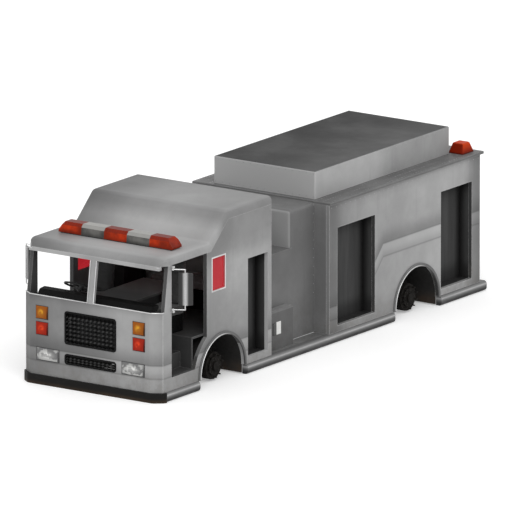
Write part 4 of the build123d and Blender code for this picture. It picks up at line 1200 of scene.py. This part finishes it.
def addTread(t, name, areas):
    meshes = []
    for low, high, z in areas:
        wide, long = high[0] - low[0], high[1] - low[1]
        meshes.append(growMesh("tread", {"Size X": wide, "Size Y": long,
            "Count X": max(2, int(wide / t["pitch"])), "Count Y": max(2, int(long / t["pitch"])),
            "Lug": t["lug"], "Middle": ((low[0] + high[0]) / 2, (low[1] + high[1]) / 2, z - t["rise"])},
            "treadAluminium"))
    addPiece(name, joinMeshes(meshes), "treadAluminium")


def addStepTread(t):
    low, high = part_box("running_boards")
    front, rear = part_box("step_boxes")[1].y + t["boardEdge"], high.y - t["boardEdge"]
    near, far = t["boardX"]
    areas = [((x0, front), (x1, rear), high.z) for x0, x1 in ((-far, -near), (near, far))]
    low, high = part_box("rear_step")
    edge = t["stepEdge"]
    areas.append(((low.x + edge, low.y + t["stepFront"]), (high.x - edge, high.y - edge), high.z))
    addTread(t, "stepTread", areas)


def addDeckTread(t):
    deckLow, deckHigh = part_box("body_deck")
    boxLow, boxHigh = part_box("roof_box")
    near, far = boxHigh.x + t["sideEdge"], deckHigh.x - t["sideEdge"]
    front, rear = deckLow.y + t["endEdge"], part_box("beacons")[0].y - t["endEdge"]
    areas = [((x0, front), (x1, rear), deckHigh.z) for x0, x1 in ((-far, -near), (near, far))]
    areas.append(((boxLow.x, boxHigh.y + t["endEdge"]), (boxHigh.x, deckHigh.y - t["endEdge"]), deckHigh.z))
    addTread(t, "deckTread", areas)


addArchBeads(archBead)
addPaneFrames(paneFrame)
addStepTread(treadPlan)
addDeckTread(deckPlan)
print("arch beads, window frames and treads added")


# hubs, rivets and mirror glass

hubFit = {
    "face": 1.06,
    "count": 10, "circle": 0.1675, "stud": 0.011, "length": 0.058,
    "sunk": 0.004, "tipStep": 0.003, "studSides": 12,
    "ribs": 4, "ribPitch": 0.03, "ribBead": 0.006, "ribSides": 6, "drum": 0.2, "ribPoints": 40,
    "bolts": 8, "boltCircle": 0.105, "boltOut": 0.028, "boltRadius": 0.011, "boltDepth": 0.009,
}


def roundPoints(count):
    return [(math.sin(math.tau * i / count), math.cos(math.tau * i / count)) for i in range(count)]


def addHubFittings(h, end, station, name, side):
    body = f"hub_{end}_{name}"
    y0, z0 = atStation(station), truck["axleZ"]
    tip = h["length"] - h["sunk"]
    bm = bmesh.new()
    for s, c in roundPoints(h["count"]):
        y, z = y0 + h["circle"] * s, z0 + h["circle"] * c
        for inner, outer, radius in ((-h["sunk"], tip, h["stud"]),
                (tip, h["length"], h["stud"] - h["tipStep"])):
            middle = side * (h["face"] + (inner + outer) / 2)
            place = Matrix.Translation((middle, y, z)) @ Matrix.Rotation(math.pi / 2, 4, "Y")
            bmesh.ops.create_cone(bm, cap_ends=True, segments=h["studSides"], radius1=radius, radius2=radius,
                depth=outer - inner, matrix=place)
    addPiece(f"wheelStuds.{end}.{name}", meshFrom(bm), "hubSteel", body=body)
    rings = []
    for i in range(1, h["ribs"] + 1):
        x = side * (h["face"] - h["ribPitch"] * i)
        ring = [(x, y0 + h["drum"] * c, z0 + h["drum"] * s) for s, c in roundPoints(h["ribPoints"])]
        rings.append((ring, True))
    ribs = growBead(rings, h["ribBead"], "hubIron", h["ribSides"])
    addPiece(f"drumRibs.{end}.{name}", ribs, "hubIron", body=body, smooth=True)
    heads = [(side * (h["face"] + h["boltOut"]), y0 + h["boltCircle"] * s, z0 + h["boltCircle"] * c)
        for s, c in roundPoints(h["bolts"])]
    mesh = growMesh("heads", {"Radius": h["boltRadius"], "Depth": h["boltDepth"],
        "Turn": (0, side * math.pi / 2, 0)}, "hubSteel", heads)
    addPiece(f"hubBolts.{end}.{name}", mesh, "hubSteel", body=body)


rivetPlan = {"radius": 0.006, "depth": 0.0024, "sides": 10, "pitch": 0.12, "inset": 0.03, "pumpFoot": 0.75,
    "bodyEnd": 0.05, "bodyDrop": 0.045, "rearRows": (0.35, 0.7, 1.4, 1.95), "rearHalf": 1.1}


def addRivets(r):
    def line(a, b):
        a, b = Vector(a), Vector(b)
        count = max(2, int((b - a).length / r["pitch"]))
        return [tuple(a.lerp(b, i / count)) for i in range(count + 1)]

    low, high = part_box("roof_box")
    pump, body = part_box("pump_module"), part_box("body_side_left")
    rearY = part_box("body_end_walls")[1].y
    inset = r["inset"]
    levels = (low.z + inset, high.z - inset)
    pumpY = pump[1].y - inset
    bodyZ = body[1].z - r["bodyDrop"]
    rows = {"left": [], "right": [], "front": [], "back": []}
    for side, x, pumpX, sideX in (("left", high.x, pump[1].x, truck["sideX"]),
            ("right", low.x, pump[0].x, -truck["sideX"])):
        for z in levels:
            rows[side] += line((x, low.y + inset, z), (x, high.y - inset, z))
        rows[side] += line((pumpX, pumpY, r["pumpFoot"]), (pumpX, pumpY, pump[1].z - inset))
        rows[side] += line((sideX, body[0].y + r["bodyEnd"], bodyZ), (sideX, body[1].y - r["bodyEnd"], bodyZ))
    for z in levels:
        for side, y in (("front", low.y), ("back", high.y)):
            rows[side] += line((low.x + inset, y, z), (high.x - inset, y, z))
    for z in r["rearRows"]:
        rows["back"] += line((-r["rearHalf"], rearY, z), (r["rearHalf"], rearY, z))
    quarter = math.pi / 2
    for side, turn, paint in (("left", (0, quarter, 0), "sidePaint"),
            ("right", (0, -quarter, 0), "sidePaint"), ("front", (quarter, 0, 0), "endWallPaint"),
            ("back", (-quarter, 0, 0), "endWallPaint")):
        mesh = growMesh("heads", {"Radius": r["radius"], "Depth": r["depth"], "Sides": r["sides"],
            "Turn": turn}, paint, rows[side])
        addPiece(f"panelRivets.{side}", mesh, paint, smooth=True)


mirrorGlass = {"inset": 0.012, "thick": 0.003, "sunk": 0.001}


def addMirrorGlass(g, side, sign):
    turn = Matrix.Rotation(math.radians(shellLook["turn"]) * sign, 4, "Z")
    local = [turn.inverted() @ v.co for v in nodes[f"mirror_head_{side}"].data.vertices]
    low, high = [Vector([pick(p[i] for p in local) for i in range(3)]) for pick in (min, max)]
    bm = bmesh.new()
    addBox(bm, (low.x + g["inset"], high.y - g["sunk"], low.z + g["inset"]),
        (high.x - g["inset"], high.y + g["thick"], high.z - g["inset"]))
    bm.transform(turn)
    addPiece(f"mirrorGlass.{side}", meshFrom(bm, g["sunk"], 1), "mirrorGlass", body=f"mirror_{side}")


for endName, axle in (("front", truck["frontAxle"]), ("rear", truck["rearAxle"])):
    for sideName, sideSign in (("left", 1), ("right", -1)):
        addHubFittings(hubFit, endName, axle, sideName, sideSign)
addRivets(rivetPlan)
for sideName, sideSign in (("left", 1), ("right", -1)):
    addMirrorGlass(mirrorGlass, sideName, sideSign)
print("hub fittings, rivets and mirror glass added")
